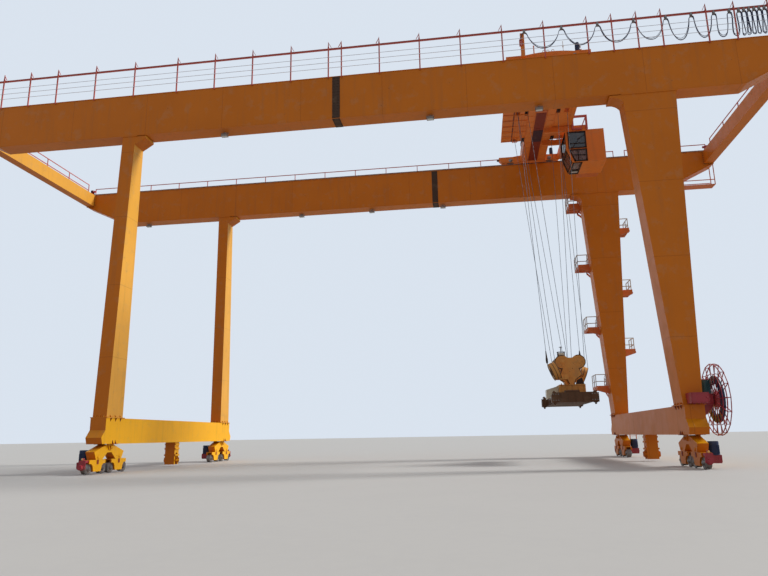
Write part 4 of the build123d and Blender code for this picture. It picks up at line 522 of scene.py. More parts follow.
def finish(name):
    """The finish of that name, made when it is first asked for."""
    if name in FINISHES:
        return FINISHES[name]
    paints = bpy.context.scene.crane_paints
    title = "crane_" + name
    if name in PAINTED:
        # The colour times its share is the painted shade tone for faces turned away from the key lamp
        tone, share, *rest = PAINTED[name]
        painted_lit_tone = getattr(paints, tone)
        made = weathered(title, painted_lit_tone, [part * share for part in painted_lit_tone], *rest)
    elif name in YELLOWS:
        tone, dirt, seams, upright = YELLOWS[name]
        made = weathered(title, getattr(paints, tone), paints.structure_deep, dirt=dirt, seams=seams,
                         upright=upright)
    else:
        make, tone, *rest = OTHERS[name]
        made = make(title, getattr(paints, tone), *rest)
    FINISHES[name] = made
    return made


# Mesh building

def both(value):
    """A length on both sides of the middle."""
    return (-value, value)


def strewn(low, high, count):
    """Evenly spaced values from low to high."""
    return [low + (high - low) * index / (count - 1) for index in range(count)]


def circle(side, other, count, shift=0.0):
    """Evenly spaced directions in the plane of two unit vectors."""
    angles = (2 * math.pi * (index + shift) / count for index in range(count))
    return [side * math.cos(theta) + other * math.sin(theta) for theta in angles]


def spokes(axis, count, shift=0.0):
    """Evenly spaced directions square to a unit vector."""
    side = axis.orthogonal().normalized()
    return circle(side, axis.cross(side), count, shift)


# Edges that bend by less than this are shown smooth
SHARP = math.radians(32.0)


class Form:
    """A mesh put together from plates, bars and turned parts."""

    def __init__(self):
        self.mesh = bmesh.new()

    def skin(self, rings, closed=False):
        """A closed skin through rings of equally many points."""
        rows = [[self.mesh.verts.new(point) for point in ring] for ring in rings]
        count = len(rows[0])
        pairs = list(zip(rows, rows[1:]))
        if closed:
            pairs.append((rows[-1], rows[0]))
        for below, above in pairs:
            for index in range(count):
                after = (index + 1) % count
                self.mesh.faces.new((below[index], below[after], above[after], above[index]))
        if not closed:
            self.mesh.faces.new(rows[0][::-1])
            self.mesh.faces.new(rows[-1])

    def plate(self, outline, push):
        """A flat outline pushed out along a vector."""
        push = Vector(push)
        outline = [Vector(point) for point in outline]
        self.skin([outline, [point + push for point in outline]])

    def plate_xz(self, outline, y, deep):
        """A plate whose outline is given in X and Z, pushed out along Y."""
        self.plate([(x, y, z) for x, z in outline], (0, deep, 0))

    def plate_yz(self, outline, x, deep):
        """A plate whose outline is given in Y and Z, pushed out along X."""
        self.plate([(x, y, z) for y, z in outline], (deep, 0, 0))

    def block(self, low, high, edge=0.0):
        """A box between two corners, its long edges chamfered."""
        low, high = Vector(map(min, low, high)), Vector(map(max, low, high))
        size = high - low
        run = max(range(3), key=lambda axis: size[axis])
        a, b = [axis for axis in range(3) if axis != run]
        edge = min(edge, size[a] * 0.45, size[b] * 0.45)
        if edge:
            flat = [(edge, 0), (size[a] - edge, 0), (size[a], edge), (size[a], size[b] - edge),
                    (size[a] - edge, size[b]), (edge, size[b]), (0, size[b] - edge), (0, edge)]
        else:
            flat = [(0, 0), (size[a], 0), (size[a], size[b]), (0, size[b])]
        outline = []
        for da, db in flat:
            point = low.copy()
            point[a] += da
            point[b] += db
            outline.append(point)
        push = Vector()
        push[run] = size[run]
        self.plate(outline, push)

    def turned(self, place, axis, profile, sides=20):
        """A turned part: its profile gives how far along the axis and how far out each ring is."""
        place, axis = Vector(place), Vector(axis).normalized()
        outs = spokes(axis, sides)
        self.skin([[place + axis * along + out * radius for out in outs] for along, radius in profile])

    def cap(self, place, axis, radius, height, top, sides=20, rise=0.006):
        """A round cap whose edge slopes in to a smaller top."""
        self.turned(place, axis, [(0, radius), (height, radius), (height + rise, top)], sides)

    def rod(self, start, end, radius, sides=12):
        """A round bar between two points."""
        run = Vector(end) - Vector(start)
        self.turned(start, run, [(0, radius), (run.length, radius)], sides)

    def bolt(self, place, axis, size):
        """A hexagon bolt head on its washer."""
        self.turned(place, axis, [(0, size * 1.5), (size * 0.22, size * 1.5)], 10)
        self.turned(place, axis, [(size * 0.2, size), (size * 0.75, size), (size * 0.85, size * 0.85)], 6)

    def bolts(self, start, end, count, axis, size):
        """A row of bolts between two points."""
        start, end = Vector(start), Vector(end)
        for share in strewn(0.0, 1.0, count):
            self.bolt(start.lerp(end, share), axis, size)

    def ring_of_bolts(self, place, axis, radius, count, size):
        """Bolts in a circle."""
        place, axis = Vector(place), Vector(axis).normalized()
        for out in spokes(axis, count, 0.5):
            self.bolt(place + out * radius, axis, size)

    def hoop(self, place, axis, radius, thick, turns=40, sides=8):
        """A ring of round bar."""
        place, axis = Vector(place), Vector(axis).normalized()
        self.skin([[place + out * radius + bar * thick for bar in circle(out, axis, sides)]
                   for out in spokes(axis, turns)], closed=True)

    def border(self, outline, normal, width, depth):
        """Flat bars along an outline's edges, standing out along a normal."""
        normal = Vector(normal).normalized()
        outline = [Vector(point) for point in outline]
        for first, second in zip(outline, outline[1:] + outline[:1]):
            run = (second - first).normalized() * width / 2
            across = normal.cross(run)
            first, second = first - run, second + run
            self.plate([first - across, second - across, second + across, first + across], normal * depth)

    def rim(self, low, high, normal, width, depth):
        """Flat bars along the edges of the level or upright rectangle between two corners."""
        a, b = [axis for axis in range(3) if low[axis] != high[axis]]
        low, high = Vector(low), Vector(high)
        second, fourth = low.copy(), low.copy()
        second[a] = high[a]
        fourth[b] = high[b]
        self.border([low, second, high, fourth], normal, width, depth)

    def tube(self, path, radius, sides=8):
        """A round tube along a path."""
        path = [Vector(point) for point in path]
        tangents = [(after - before).normalized() for before, after in
                    zip([path[0], *path[:-1]], [*path[1:], path[-1]])]
        side = tangents[0].orthogonal().normalized()
        rings = []
        for point, tangent in zip(path, tangents):
            side = (side - tangent * side.dot(tangent)).normalized()
            rings.append([point + out * radius for out in circle(side, tangent.cross(side), sides)])
        self.skin(rings)

    def done(self, name):
        """The finished mesh, smooth but for its sharp edges."""
        bmesh.ops.recalc_face_normals(self.mesh, faces=self.mesh.faces)
        for face in self.mesh.faces:
            face.smooth = True
        for edge in self.mesh.edges:
            edge.smooth = edge.calc_face_angle(0.0) < SHARP
        mesh = bpy.data.meshes.new(name)
        self.mesh.to_mesh(mesh)
        self.mesh.free()
        return mesh


def forms(count):
    """New empty forms."""
    return [Form() for index in range(count)]


def piece(form, name, coat, body=None, replaces=()):
    """Put a finished form into the scene, with its finish, on the body that carries it."""
    shown = bpy.data.objects.new(name, form.done(name))
    bpy.context.scene.collection.objects.link(shown)
    shown.data.materials.append(finish(coat))
    if body:
        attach(shown, body)
    if replaces:
        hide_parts(*replaces)
    return shown


# Camera

SENSOR_WIDTH = 36.0
CLIP_END = 900.0


class CRANE_OT_camera(Operator):
    """Set up the camera at the photograph's place and angle"""

    bl_idname = "crane.camera"
    bl_label = "Camera"

    def execute(self, context):
        view = context.scene.crane_view
        data = bpy.data.cameras.new("camera")
        data.lens = view.lens
        data.sensor_width = SENSOR_WIDTH
        data.clip_end = CLIP_END
        camera = bpy.data.objects.new("camera", data)
        context.scene.collection.objects.link(camera)
        level = math.cos(view.pitch)
        forward = Vector((math.sin(view.yaw) * level, math.cos(view.yaw) * level, math.sin(view.pitch)))
        right = Vector((math.cos(view.yaw), -math.sin(view.yaw), 0.0))
        up = right.cross(forward)
        across = right * math.cos(view.roll) - up * math.sin(view.roll)
        above = right * math.sin(view.roll) + up * math.cos(view.roll)
        turn = Matrix((across, above, -forward)).transposed()
        camera.matrix_world = Matrix.Translation(Vector(view.place)) @ turn.to_4x4()
        context.scene.camera = camera
        return {"FINISHED"}


# Festoon

# Each cable's sag, and how much its loops differ in slack and in lean
SAGS = (1.035, 0.955, 1.015, 0.980, 1.0, 0.965)
LOOP_SLACK = (0.990, 1.010)
LOOP_LEAN = 0.012
BUNCH_SLACK = (0.95, 1.02)
BUNCH_LEAN = 0.010
BUNCH_SAG = 1.02
SEED = 5
SPLINE_STEPS = 5
GLAND_PITCH = 0.014
TOW_Y = -3.912
# A height scaled by each carrier's share of the trolley's travel, one share for the whole carrier; the result
# is not used
REACH = 10000.0
CARRIER_CHEEK = ((-0.028, 11.932), (0.028, 11.932), (0.028, 11.985), (0.016, 12.016), (-0.016, 12.016),
                 (-0.028, 11.985))
CARRIER_LOW = 11.9293
CLAMP_ARCH = ((-0.056, 0.018), (-0.044, 0.006), (-0.028, 0.0), (0.028, 0.0), (0.044, 0.006), (0.056, 0.018))
CLAMP_TOP = 11.9118
CLAMP_LOW = 11.9078


def strand_route(offset, sag, start, rng):
    """One cable's route: up from the tow arm, then flat over each saddle with a loop between."""
    y = TRACK_Y + offset
    points = [(TOW_END[0][0] + start[0], start[1], TOW_END[0][1]),
              (TOW_END[1][0] + start[0] / 2, (start[1] + y) / 2, TOW_END[1][1]),
              *((x, y, drop) for x, drop in TOW_END[2:])]
    for carrier_x, loop in zip(CARRIER_X[1:], LOOPS):
        slack = sag * rng.uniform(*LOOP_SLACK)
        lean = rng.uniform(*both(LOOP_LEAN))
        points += [(x + lean * min(drop / 0.3, 1), y, drop * slack) for x, drop in loop]
        points += [(carrier_x - SADDLE_HALF, y, 0.0), (carrier_x + SADDLE_HALF, y, 0.0)]
    for turn in range(BUNCH_TURNS):
        start_x = CARRIER_X[-1] + turn * BUNCH_PITCH
        slack = min(sag, BUNCH_SAG) * rng.uniform(*BUNCH_SLACK)
        lean = rng.uniform(*both(BUNCH_LEAN))
        points += [(start_x + x + lean * min(drop / 0.5, 1), y, drop * slack) for x, drop in BUNCH_LOOP]
        points += [(start_x + BUNCH_PITCH - SADDLE_GAP, y, 0.0), (start_x + BUNCH_PITCH + SADDLE_GAP, y, 0.0)]
    return [(x, y, SADDLE_Z - drop) for x, y, drop in points]


def smooth_path(points, resolution):
    """Points read from the smooth spline whose control points are given."""
    data = bpy.data.curves.new("route", "CURVE")
    data.dimensions = "3D"
    spline = data.splines.new("NURBS")
    spline.points.add(len(points) - 1)
    for slot, point in zip(spline.points, points):
        slot.co = (*point, 1.0)
    spline.order_u = 3
    spline.use_endpoint_u = True
    spline.resolution_u = resolution
    route = bpy.data.objects.new("route", data)
    bpy.context.scene.collection.objects.link(route)
    bpy.context.view_layer.update()
    mesh = bpy.data.meshes.new_from_object(route)
    path = [vertex.co.copy() for vertex in mesh.vertices]
    bpy.data.objects.remove(route)
    bpy.data.curves.remove(data)
    bpy.data.meshes.remove(mesh)
    return path


def along_track(x):
    """How far a point of the festoon follows the trolley, from 0 at the bunch's end to 1 at the tow arm."""
    start, end = BLEND_X
    return min(max((x - start) / (end - start), 0.0), 1.0)


def carrier_form(x):
    """A cable carrier: cheeks and wheels on the track's flange, and bolted clamps round the cables."""
    form = Form()
    for side in both(1):
        y = TRACK_Y + side * 0.0235
        form.plate_xz([(x + dx, z) for dx, z in CARRIER_CHEEK], y - 0.002, 0.004)
        for dx in both(0.014):
            form.turned((x + dx, y - side * 0.011, 12.006), (0, side, 0),
                        [(0, 0.0075), (0.009, 0.0075), (0.014, 0.003)], 12)
    form.block((x - 0.030, TRACK_Y - 0.026, CARRIER_LOW), (x + 0.030, TRACK_Y + 0.026, 11.946), 0.003)
    top = [(x + dx, CLAMP_TOP - drop) for dx, drop in CLAMP_ARCH]
    low = [(x + dx, CLAMP_LOW - drop) for dx, drop in reversed(CLAMP_ARCH)]
    form.plate_xz(top + low, TRACK_Y - 0.036, 0.072)
    form.block((x - 0.030, TRACK_Y - 0.038, CARRIER_LOW), (x + 0.030, TRACK_Y + 0.038, 11.934), 0.001)
    for y in (TRACK_Y - 0.033, TRACK_Y + 0.033):
        for dx in both(0.018):
            form.rod((x + dx, y, 11.903), (x + dx, y, 11.938), 0.003, 6)
    for side in both(1):
        form.turned((x + side * 0.030, TRACK_Y, 11.955), (side, 0, 0),
                    [(0, 0.009), (0.006, 0.011), (0.012, 0.008)], 10)
    return form


class CRANE_OT_festoon(Operator):
    """Hang the festoon cables from their carriers, from the tow arm to the gathered bunch"""

    bl_idname = "crane.festoon"
    bl_label = "Festoon"

    def execute(self, context):
        sizes = context.scene.crane_sizes
        rng = random.Random(SEED)
        middle = (sizes.strands - 1) / 2
        for index in range(sizes.strands):
            offset = (index - middle) * sizes.strand_gap
            start = (GLAND_PITCH * (index % 2), TOW_Y - GLAND_PITCH * (index // 2))
            path = smooth_path(strand_route(offset, SAGS[index], start, rng), SPLINE_STEPS)
            form = Form()
            form.tube(path, sizes.strand / 2)
            strand = piece(form, f"festoon_cable_{index + 1}", "cable_dark")
            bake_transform(strand)
            if index == 0:
                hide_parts("festoon_cable", "festoon_bunch")
        carriers = [*CARRIER_X, *(CARRIER_X[-1] + turn * BUNCH_PITCH for turn in range(1, BUNCH_TURNS + 1))]
        for index, x in enumerate(carriers):
            shown = piece(carrier_form(x), f"cable_carrier_{index + 1}", "lamp_grey")
            foot = SADDLE_Z - along_track(x) * REACH
            foot + REACH
            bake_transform(shown)
            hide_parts("festoon_carriers")
        clamp, box = forms(2)
        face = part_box("tow_arm")[0].y
        clamp.block((5.140, face - 0.046, 11.700), (5.192, face, 11.722), 0.003)
        clamp.block((5.138, face - 0.048, 11.520), (5.194, face, 11.672), 0.006)
        clamp.block((5.192, face - 0.010, 11.540), (5.240, face, 11.720), 0.002)
        for z in (11.56, 11.64):
            clamp.bolt((5.215, face - 0.010, z), -Y_AXIS, 0.006)
        for dx in (0.0, GLAND_PITCH):
            for dy in (0.0, GLAND_PITCH):
                clamp.turned((TOW_END[0][0] + dx, TOW_Y - dy, 11.672), Z_AXIS,
                             [(0, 0.0085), (0.012, 0.0075)], 10)
        piece(clamp, "festoon_gland_box", "fence_red", "trolley")
        box.block((12.342, TRACK_Y - 0.038, 11.840), (12.460, TRACK_Y + 0.038, 11.950), 0.006)
        box.block((12.380, TRACK_Y - 0.016, 11.950), (12.420, TRACK_Y + 0.016, 11.992), 0.002)
        box.block((12.350, TRACK_Y - 0.042, 11.850), (12.452, TRACK_Y - 0.038, 11.940), 0.002)
        for x in (12.358, 12.444):
            for z in (11.932, 11.858):
                box.bolt((x, TRACK_Y - 0.042, z), -Y_AXIS, 0.004)
        piece(box, "festoon_junction_box", "lamp_grey", "gantry")
        return {"FINISHED"}


# Bridge and legs

# Each splice's X and side of the bridge
SPLICES = ((-0.15, -1), (2.22, 1))
SPLICE_FACE = 0.2595
TIE_FACE = 3.4145
TIE_LOW = 10.582
CLIPS_X = strewn(-12.3, 12.3, 42)
CLIP_PLATE = ((-0.026, 11.113), (0.022, 11.100), (0.022, 11.116), (-0.026, 11.122))
# Each rail's legs: X, half widths at the foot along X and Y, and the head flange's reach either way along X
LEG_FEET = ((RAIL_X[0], 0.200, 0.400, (-0.200, 0.200)), (RAIL_X[1], 0.225, 0.375, (-0.750, 0.635)))
FLANGE_EDGE = 0.0225
FOOT_FLANGE_TOP = 1.460
HEAD_FLANGE_LOW = 9.730
SILL_TOP = 1.440
SILL_HALF = 0.225
SILL_LOW = 0.76


class CRANE_OT_bridge(Operator):
    """Bolt the splices and the tie beams, clip the crane rails down and set their end stops"""

    bl_idname = "crane.bridge"
    bl_label = "Bridge"

    def execute(self, context):
        size = context.scene.crane_sizes.bolt
        form, clips, stops = forms(3)
        for x, side in SPLICES:
            middle = side * GIRDER_Y
            for face in both(SPLICE_FACE):
                for dx in (-0.088, -0.042, 0.042, 0.088):
                    row = (x + dx, middle + face)
                    form.bolts((*row, GIRDER_BOTTOM + 0.06), (*row, GIRDER_TOP - 0.06), 15, (0, face, 0),
                               size)
            low = GIRDER_BOTTOM - 0.008
            for dx in both(0.088):
                form.bolts((x + dx, middle - 0.22, low), (x + dx, middle + 0.22, low), 6, -Z_AXIS, size)
        for tip in both(1):
            for y in both(TIE_FACE):
                form.bolts((tip * 12.62, y, TIE_LOW), (tip * 12.33, y, TIE_LOW), 5, (0, -y, 0), 0.010)
                form.bolts((tip * 12.302, y, 10.62), (tip * 12.302, y, 11.06), 7, (0, -y, 0), 0.010)
        piece(form, "splice_bolts", "splice_dark", "gantry")
        for side in both(1):
            for x in CLIPS_X:
                for out in both(1):
                    y = side * CRANE_RAIL_Y + out * 0.052
                    clips.plate_yz([(y + out * dy, z) for dy, z in CLIP_PLATE], x - 0.022, 0.044)
                    clips.bolt((x, y + out * 0.006, 11.117), Z_AXIS, 0.008)
        piece(clips, "rail_clips", "bolt_steel", "gantry")
        for y in both(CRANE_RAIL_Y):
            for end in both(1):
                x = end * 12.47
                stops.plate_xz([(x - 0.06, 11.160), (x + 0.06, 11.160), (x + end * 0.06, 11.34),
                                (x - end * 0.03, 11.34)], y - 0.05, 0.10)
                stops.turned((x - end * 0.04, y, 11.29), (-end, 0, 0),
                             [(0, 0.055), (0.012, 0.055), (0.02, 0.04), (0.07, 0.045), (0.08, 0.03)], 18)
                stops.bolts((x - 0.04, y - 0.05, 11.18), (x + 0.04, y - 0.05, 11.18), 3, -Y_AXIS, 0.008)
        piece(stops, "rail_end_stops", "gear_red", "gantry")
        return {"FINISHED"}


class CRANE_OT_legs(Operator):
    """Bolt the legs' flanges and stiffen the sills under them"""

    bl_idname = "crane.legs"
    bl_label = "Legs"

    def execute(self, context):
        size = context.scene.crane_sizes.bolt
        form, ribs = forms(2)
        for rail, half_x, half_y, head in LEG_FEET:
            for corner in both(CORNER_Y):
                middle = math.copysign(GIRDER_Y, corner)
                for side, reach in zip(both(1), head):
                    x, y = rail + side * (half_x + FLANGE_EDGE), corner + side * (half_y + FLANGE_EDGE)
                    for share in (-0.84, -0.30, 0.30, 0.84):
                        form.bolt((x, corner + share * half_y, FOOT_FLANGE_TOP), Z_AXIS, size)
                        form.bolt((rail + share * half_x, y, FOOT_FLANGE_TOP), Z_AXIS, size)
                    edge = rail + reach + side * FLANGE_EDGE
                    form.bolts((edge, middle - 0.21, HEAD_FLANGE_LOW),
                               (edge, middle + 0.21, HEAD_FLANGE_LOW), 5, -Z_AXIS, size)
                    face = rail + side * SILL_HALF
                    for share in (-0.6, 0.0, 0.6):
                        ribs.plate_xz([(face, SILL_TOP), (face + side * 0.042, SILL_TOP), (face, 1.345)],
                                      corner + share * half_y - 0.007, 0.014)
                    for dy in (-0.075, 0.061):
                        ribs.plate_xz([(face, SILL_LOW), (face + side * 0.035, SILL_LOW), (face, 0.86)],
                                      corner + dy, 0.014)
                    ribs.block((face - side * 0.10, corner - 0.16, 0.750),
                               (face + side * 0.035, corner + 0.16, SILL_LOW))
        piece(form, "leg_flange_bolts", "running_yellow", "gantry")
        # The sill ribs get the dark red primer as painted shade, standing in for the shade that falls on them
        # under the flanges and by the lugs
        piece(ribs, "sill_ribs", "strip_red", "gantry")
        return {"FINISHED"}


# Travel gear

BOGIE_OFFSET = 0.51
WHEEL_OFFSET = 0.32
AXLE_Z = 0.147
PIN_Z = 0.675
BOGIE_PIN_Z = 0.425
GEARBOX_Z = 0.21
BUFFER_Z = 0.190
BUFFER_LAMP_Z = 0.39
# The travel motor's distance from its rail, radius, foot and top
TRAVEL_MOTOR = (0.280, 0.112, 0.3003, 0.610)
BOGIE_SLOT = ((-0.034, 0.255), (0.034, 0.255), (0.040, 0.350), (0.028, 0.364), (-0.028, 0.364),
              (-0.040, 0.350))
WHEEL_FACE = ((0, 0.124), (0.004, 0.124), (0.006, 0.110), (0.002, 0.104), (0.002, 0.066), (0.010, 0.060),
              (0.030, 0.052), (0.034, 0.034), (0.044, 0.032))
GEARBOX_COVER = ((0, 0.072), (0.008, 0.072), (0.012, 0.060), (0.020, 0.030), (0.028, 0.028))
GEARBOX_FIN = ((-0.110, 0.165), (-0.118, 0.175), (-0.118, 0.290), (-0.110, 0.300))
BUFFER_NOSE = ((0, 0.084), (0.014, 0.084), (0.018, 0.062), (0.100, 0.063), (0.109, 0.050))
ANCHOR_FACE = 0.1625
# The bands round an anchor post: height, half width and depth
ANCHOR_BANDS = ((0.20, 0.12, 0.05), (0.36, 0.145, 0.035), (0.56, 0.145, 0.030), (0.70, 0.145, 0.022))


def finned_motor(form, foot, axis, reach, radius, fins=22):
    """A motor's flange, finned shell and fan cowl, with its terminal box."""
    foot = Vector(foot)
    side, other = spokes(axis, 4)[:2]
    form.turned(foot, axis, [(0.0, radius * 1.16), (0.012, radius * 1.16), (0.016, radius * 1.01),
                             (reach * 0.74, radius * 1.01), (reach * 0.75, radius * 1.06),
                             (reach * 0.94, radius * 1.06), (reach, radius * 0.80)], 28)
    for out in spokes(axis, fins):
        half = axis.cross(out) * radius * 0.025
        root = foot + axis * 0.022 + out * radius
        tip = root + out * radius * 0.09
        form.plate([root - half, root + half, tip + half, tip - half], axis * (reach * 0.72 - 0.022))
    box = foot + axis * reach * 0.38 + side * radius * 1.02
    half = other * radius * 0.42
    lid = side * radius * 0.30
    form.plate([box - half, box + half, box + half + lid, box - half + lid], axis * reach * 0.30)
    form.bolt(box + lid + axis * reach * 0.15, side, 0.006)


class CRANE_OT_travel(Operator):
    """Fit wheel faces, pins, motors, buffers and pin plates to the travel gear"""

    bl_idname = "crane.travel"
    bl_label = "Travel gear"

    def execute(self, context):
        wheels, pins, motors, gears, rubber, posts, lamps, caps = forms(8)
        reach, radius, low, high = TRAVEL_MOTOR
        for rail in RAIL_X:
            away = math.copysign(1, rail)
            for corner in both(CORNER_Y):
                for out in both(1):
                    axis = (out, 0, 0)
                    caps.cap((rail + out * 0.185, corner, PIN_Z), axis, 0.050, 0.010, 0.042)
                    pins.ring_of_bolts((rail + out * 0.201, corner, PIN_Z), axis, 0.024, 4, 0.007)
                    for bogie in both(BOGIE_OFFSET):
                        y = corner + bogie
                        pin = (rail + out * 0.125, y, BOGIE_PIN_Z)
                        pins.plate_yz([(y + dy, z) for dy, z in BOGIE_SLOT], rail + out * 0.115, out * 0.012)
                        caps.cap(pin, axis, 0.036, 0.012, 0.028)
                        caps.ring_of_bolts(pin, axis, 0.052, 6, 0.006)
                        for axle in (y - WHEEL_OFFSET, y + WHEEL_OFFSET):
                            wheels.turned((rail + out * 0.0652, axle, AXLE_Z), axis, WHEEL_FACE, 28)
                            wheels.ring_of_bolts((rail + out * 0.0952, axle, AXLE_Z), axis, 0.042, 6, 0.005)
                x, y = rail + away * reach, corner - BOGIE_OFFSET
                finned_motor(motors, (x, y, low), Z_AXIS, high - low, radius)
                gears.ring_of_bolts((x, y, low), Z_AXIS, radius * 1.22, 8, 0.008)
                gears.turned((rail + away * 0.405, y, GEARBOX_Z), (away, 0, 0), GEARBOX_COVER, 24)
                gears.ring_of_bolts((rail + away * 0.413, y, GEARBOX_Z), (away, 0, 0), 0.064, 8, 0.005)
                for dx in strewn(0.15, 0.38, 5):
                    gears.plate_yz([(y + dy, z) for dy, z in GEARBOX_FIN], rail + away * dx, away * 0.008)
                end = math.copysign(1, corner)
                face = corner + end * (BOGIE_OFFSET + 0.505)
                rubber.turned((rail, face, BUFFER_Z), (0, end, 0), BUFFER_NOSE, 28)
                gears.ring_of_bolts((rail, face + end * 0.014, BUFFER_Z), (0, end, 0), 0.074, 6, 0.006)
                lamps.cap((rail, face, BUFFER_LAMP_Z), (0, end, 0), 0.027, 0.006, 0.018)
            for out in both(1):
                face = rail + out * ANCHOR_FACE
                for z, half, deep in ANCHOR_BANDS:
                    posts.block((face, -half, z - 0.03), (face + out * deep, half, z + 0.02))
                outer = face + out * 0.075
                for dy in (-0.055, 0.040):
                    posts.plate_xz([(face, 0.09), (outer, 0.14), (outer, 0.26), (face, 0.33)], dy, 0.014)
                posts.cap((face + out * 0.050, -0.075, 0.20), Y_AXIS, 0.020, 0.15, 0.014, rise=0.005)
                posts.bolts((face, -0.11, 0.63), (face, 0.11, 0.63), 4, (out, 0, 0), 0.012)
        piece(wheels, "wheel_faces", "wheel_steel", "gantry")
        piece(pins, "bogie_slots", "strip_red", "gantry")
        piece(caps, "gear_pins", "running_yellow", "gantry")
        piece(motors, "travel_motor_shells", "drive_navy", "gantry")
        piece(gears, "gearbox_covers", "gear_red", "gantry")
        piece(rubber, "buffer_noses", "gear_red", "gantry")
        piece(lamps, "buffer_lamps", "lamp_amber", "gantry")
        piece(posts, "anchor_plates", "running_yellow", "gantry")
        return {"FINISHED"}


# Fence, stairs and floodlights

FENCE_Y = -3.980
FENCE_BACK = -3.9675
FENCE_FRONT = -3.9925
FENCE_END = 12.640
POSTS_X = (-12.625, -11.760, -10.894, -9.973, -9.039, -7.750, -6.457, -5.071, -3.873, -2.694, -1.510,
           -0.374, 0.016, 1.138, 2.312, 3.483, 4.663, 5.820, 7.000, 7.668, 8.330, 8.978, 10.153, 10.872,
           11.730, 12.625)
WIRES_Z = (11.376, 11.551, 11.726)
TRACK_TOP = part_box("cable_track")[1].z
FENCE_POST = ((-0.018, 11.045), (0.018, 11.045), (0.018, TRACK_TOP), (0.0036, 12.229), (-0.0036, 12.229),
              (-0.018, TRACK_TOP))
LANDINGS_Z = (2.40, 3.70, 4.55, 5.90, 6.95, 8.30, 9.40)
LANDING_LOW_Y = 3.816
STAIR_Y = (4.385, 4.715)
RAIL_RADIUS = 0.010
RAIL_LIFTS = (0.24, 0.46)
QUARTERS = (0.25, 0.5, 0.75)
LAMPS = ((-3.589, -GIRDER_Y), (2.537, -GIRDER_Y), (5.574, -GIRDER_Y), (-9.889, GIRDER_Y), (-3.251, GIRDER_Y),
         (-0.352, GIRDER_Y), (2.501, GIRDER_Y))
LAMP_GLASS_Z = (9.614, 9.621)
LAMP_YOKE = ((0.075, 9.645), (0.110, 9.645), (0.110, 9.722), (0.015, 9.722), (0.015, 9.716), (0.102, 9.716))


def leg_edge(z, out):
    """The X of the stiff leg's side face at a height."""
    rail, foot = LEG_FEET[1][:2]
    head = abs(LEG_FEET[1][3][0 if out < 0 else 1])
    share = (z - FOOT_FLANGE_TOP) / (HEAD_FLANGE_LOW - FOOT_FLANGE_TOP)
    return rail + out * (foot + share * (head - foot))


class CRANE_OT_fence(Operator):
    """Set the near fence's pointed posts, string its wires and hang the cable track from them"""

    bl_idname = "crane.fence"
    bl_label = "Fence"

    def execute(self, context):
        wires, posts = forms(2)
        deep = FENCE_FRONT - FENCE_BACK
        for z in WIRES_Z:
            wires.tube([(x, FENCE_Y, z) for x in strewn(POSTS_X[0], POSTS_X[-1], 60)], 0.0065)
        for x in POSTS_X:
            posts.plate_xz([(x + dx, z) for dx, z in FENCE_POST], FENCE_BACK, deep)
            side = -1 if x > 0 else 1
            foot = min(max(x + side * 0.085, -FENCE_END), FENCE_END)
            posts.plate_xz([(foot - 0.007, TRACK_TOP), (foot + 0.007, TRACK_TOP), (x + 0.006, 12.205),
                            (x - 0.006, 12.205)], FENCE_BACK, deep)
            top = TRACK_TOP + 0.012
            posts.block((x - 0.020, FENCE_FRONT, TRACK_TOP), (x + 0.020, TRACK_Y + 0.026, top), 0.003)
            posts.cap((x, TRACK_Y, top), Z_AXIS, 0.014, 0.016, 0.008, 12, rise=0.004)
            posts.bolts((x, FENCE_FRONT, 11.060), (x, FENCE_FRONT, 11.088), 2, -Y_AXIS, 0.006)
            for z in WIRES_Z:
                wires.cap((x, FENCE_FRONT, z), -Y_AXIS, 0.013, 0.005, 0.008, 12, rise=0.003)
        piece(wires, "fence_wires", "wire_grey", "gantry", ["near_fence"])
        piece(posts, "fence_posts", "fence_red", "gantry", ["near_fence"])
        return {"FINISHED"}


class CRANE_OT_stairs(Operator):
    """Lay chequer plate on the landings and put handrails on the stair's flights"""

    bl_idname = "crane.stairs"
    bl_label = "Stairs"

    def execute(self, context):
        plates, edges, rails = forms(3)
        near, far = STAIR_Y
        for index, z in enumerate(LANDINGS_Z):
            out = -1 if index % 2 == 0 else 1
            inner = leg_edge(z, out) + out * 0.02
            outer = inner + out * 0.39
            plates.block((inner, 3.835, z), (outer, far - 0.02, z + 0.005), 0.002)
            edges.block((outer, LANDING_LOW_Y, z), (outer + out * 0.008, far - 0.001, z + 0.09), 0.002)
            edges.block((inner, LANDING_LOW_Y, z), (outer, LANDING_LOW_Y + 0.008, z + 0.09), 0.002)
            for share in QUARTERS:
                y = 3.83 + share * 0.87
                edges.block((inner, y, z - 0.05), (outer, y + 0.01, z - 0.021), 0.002)
        heights = [SILL_TOP, *LANDINGS_Z, GIRDER_TOP]
        for index, (low, high) in enumerate(zip(heights, heights[1:])):
            out = 1 if index % 2 == 0 else -1
            start = RAIL_X[1] + SILL_HALF if index == 0 else leg_edge(low, out)
            end = leg_edge(high, -out)
            run = end - start
            for y in (near + 0.009, far - 0.009):
                for lift in RAIL_LIFTS:
                    rails.tube([(start, y, low), (start + run * 0.03, y, low + lift),
                                (end - run * 0.06, y, high + lift - 0.04),
                                (end - run * 0.02, y, high - 0.02)], RAIL_RADIUS)
                for share in QUARTERS:
                    x, z = start + run * share, low + (high - low) * share
                    rails.rod((x, y, z - 0.03), (x, y, z + 0.46), RAIL_RADIUS, 8)
        piece(plates, "landing_plates", "landing_tread", "gantry")
        piece(edges, "landing_edges", "landing_red", "gantry")
        piece(rails, "flight_handrails", "guard_pale", "gantry")
        return {"FINISHED"}


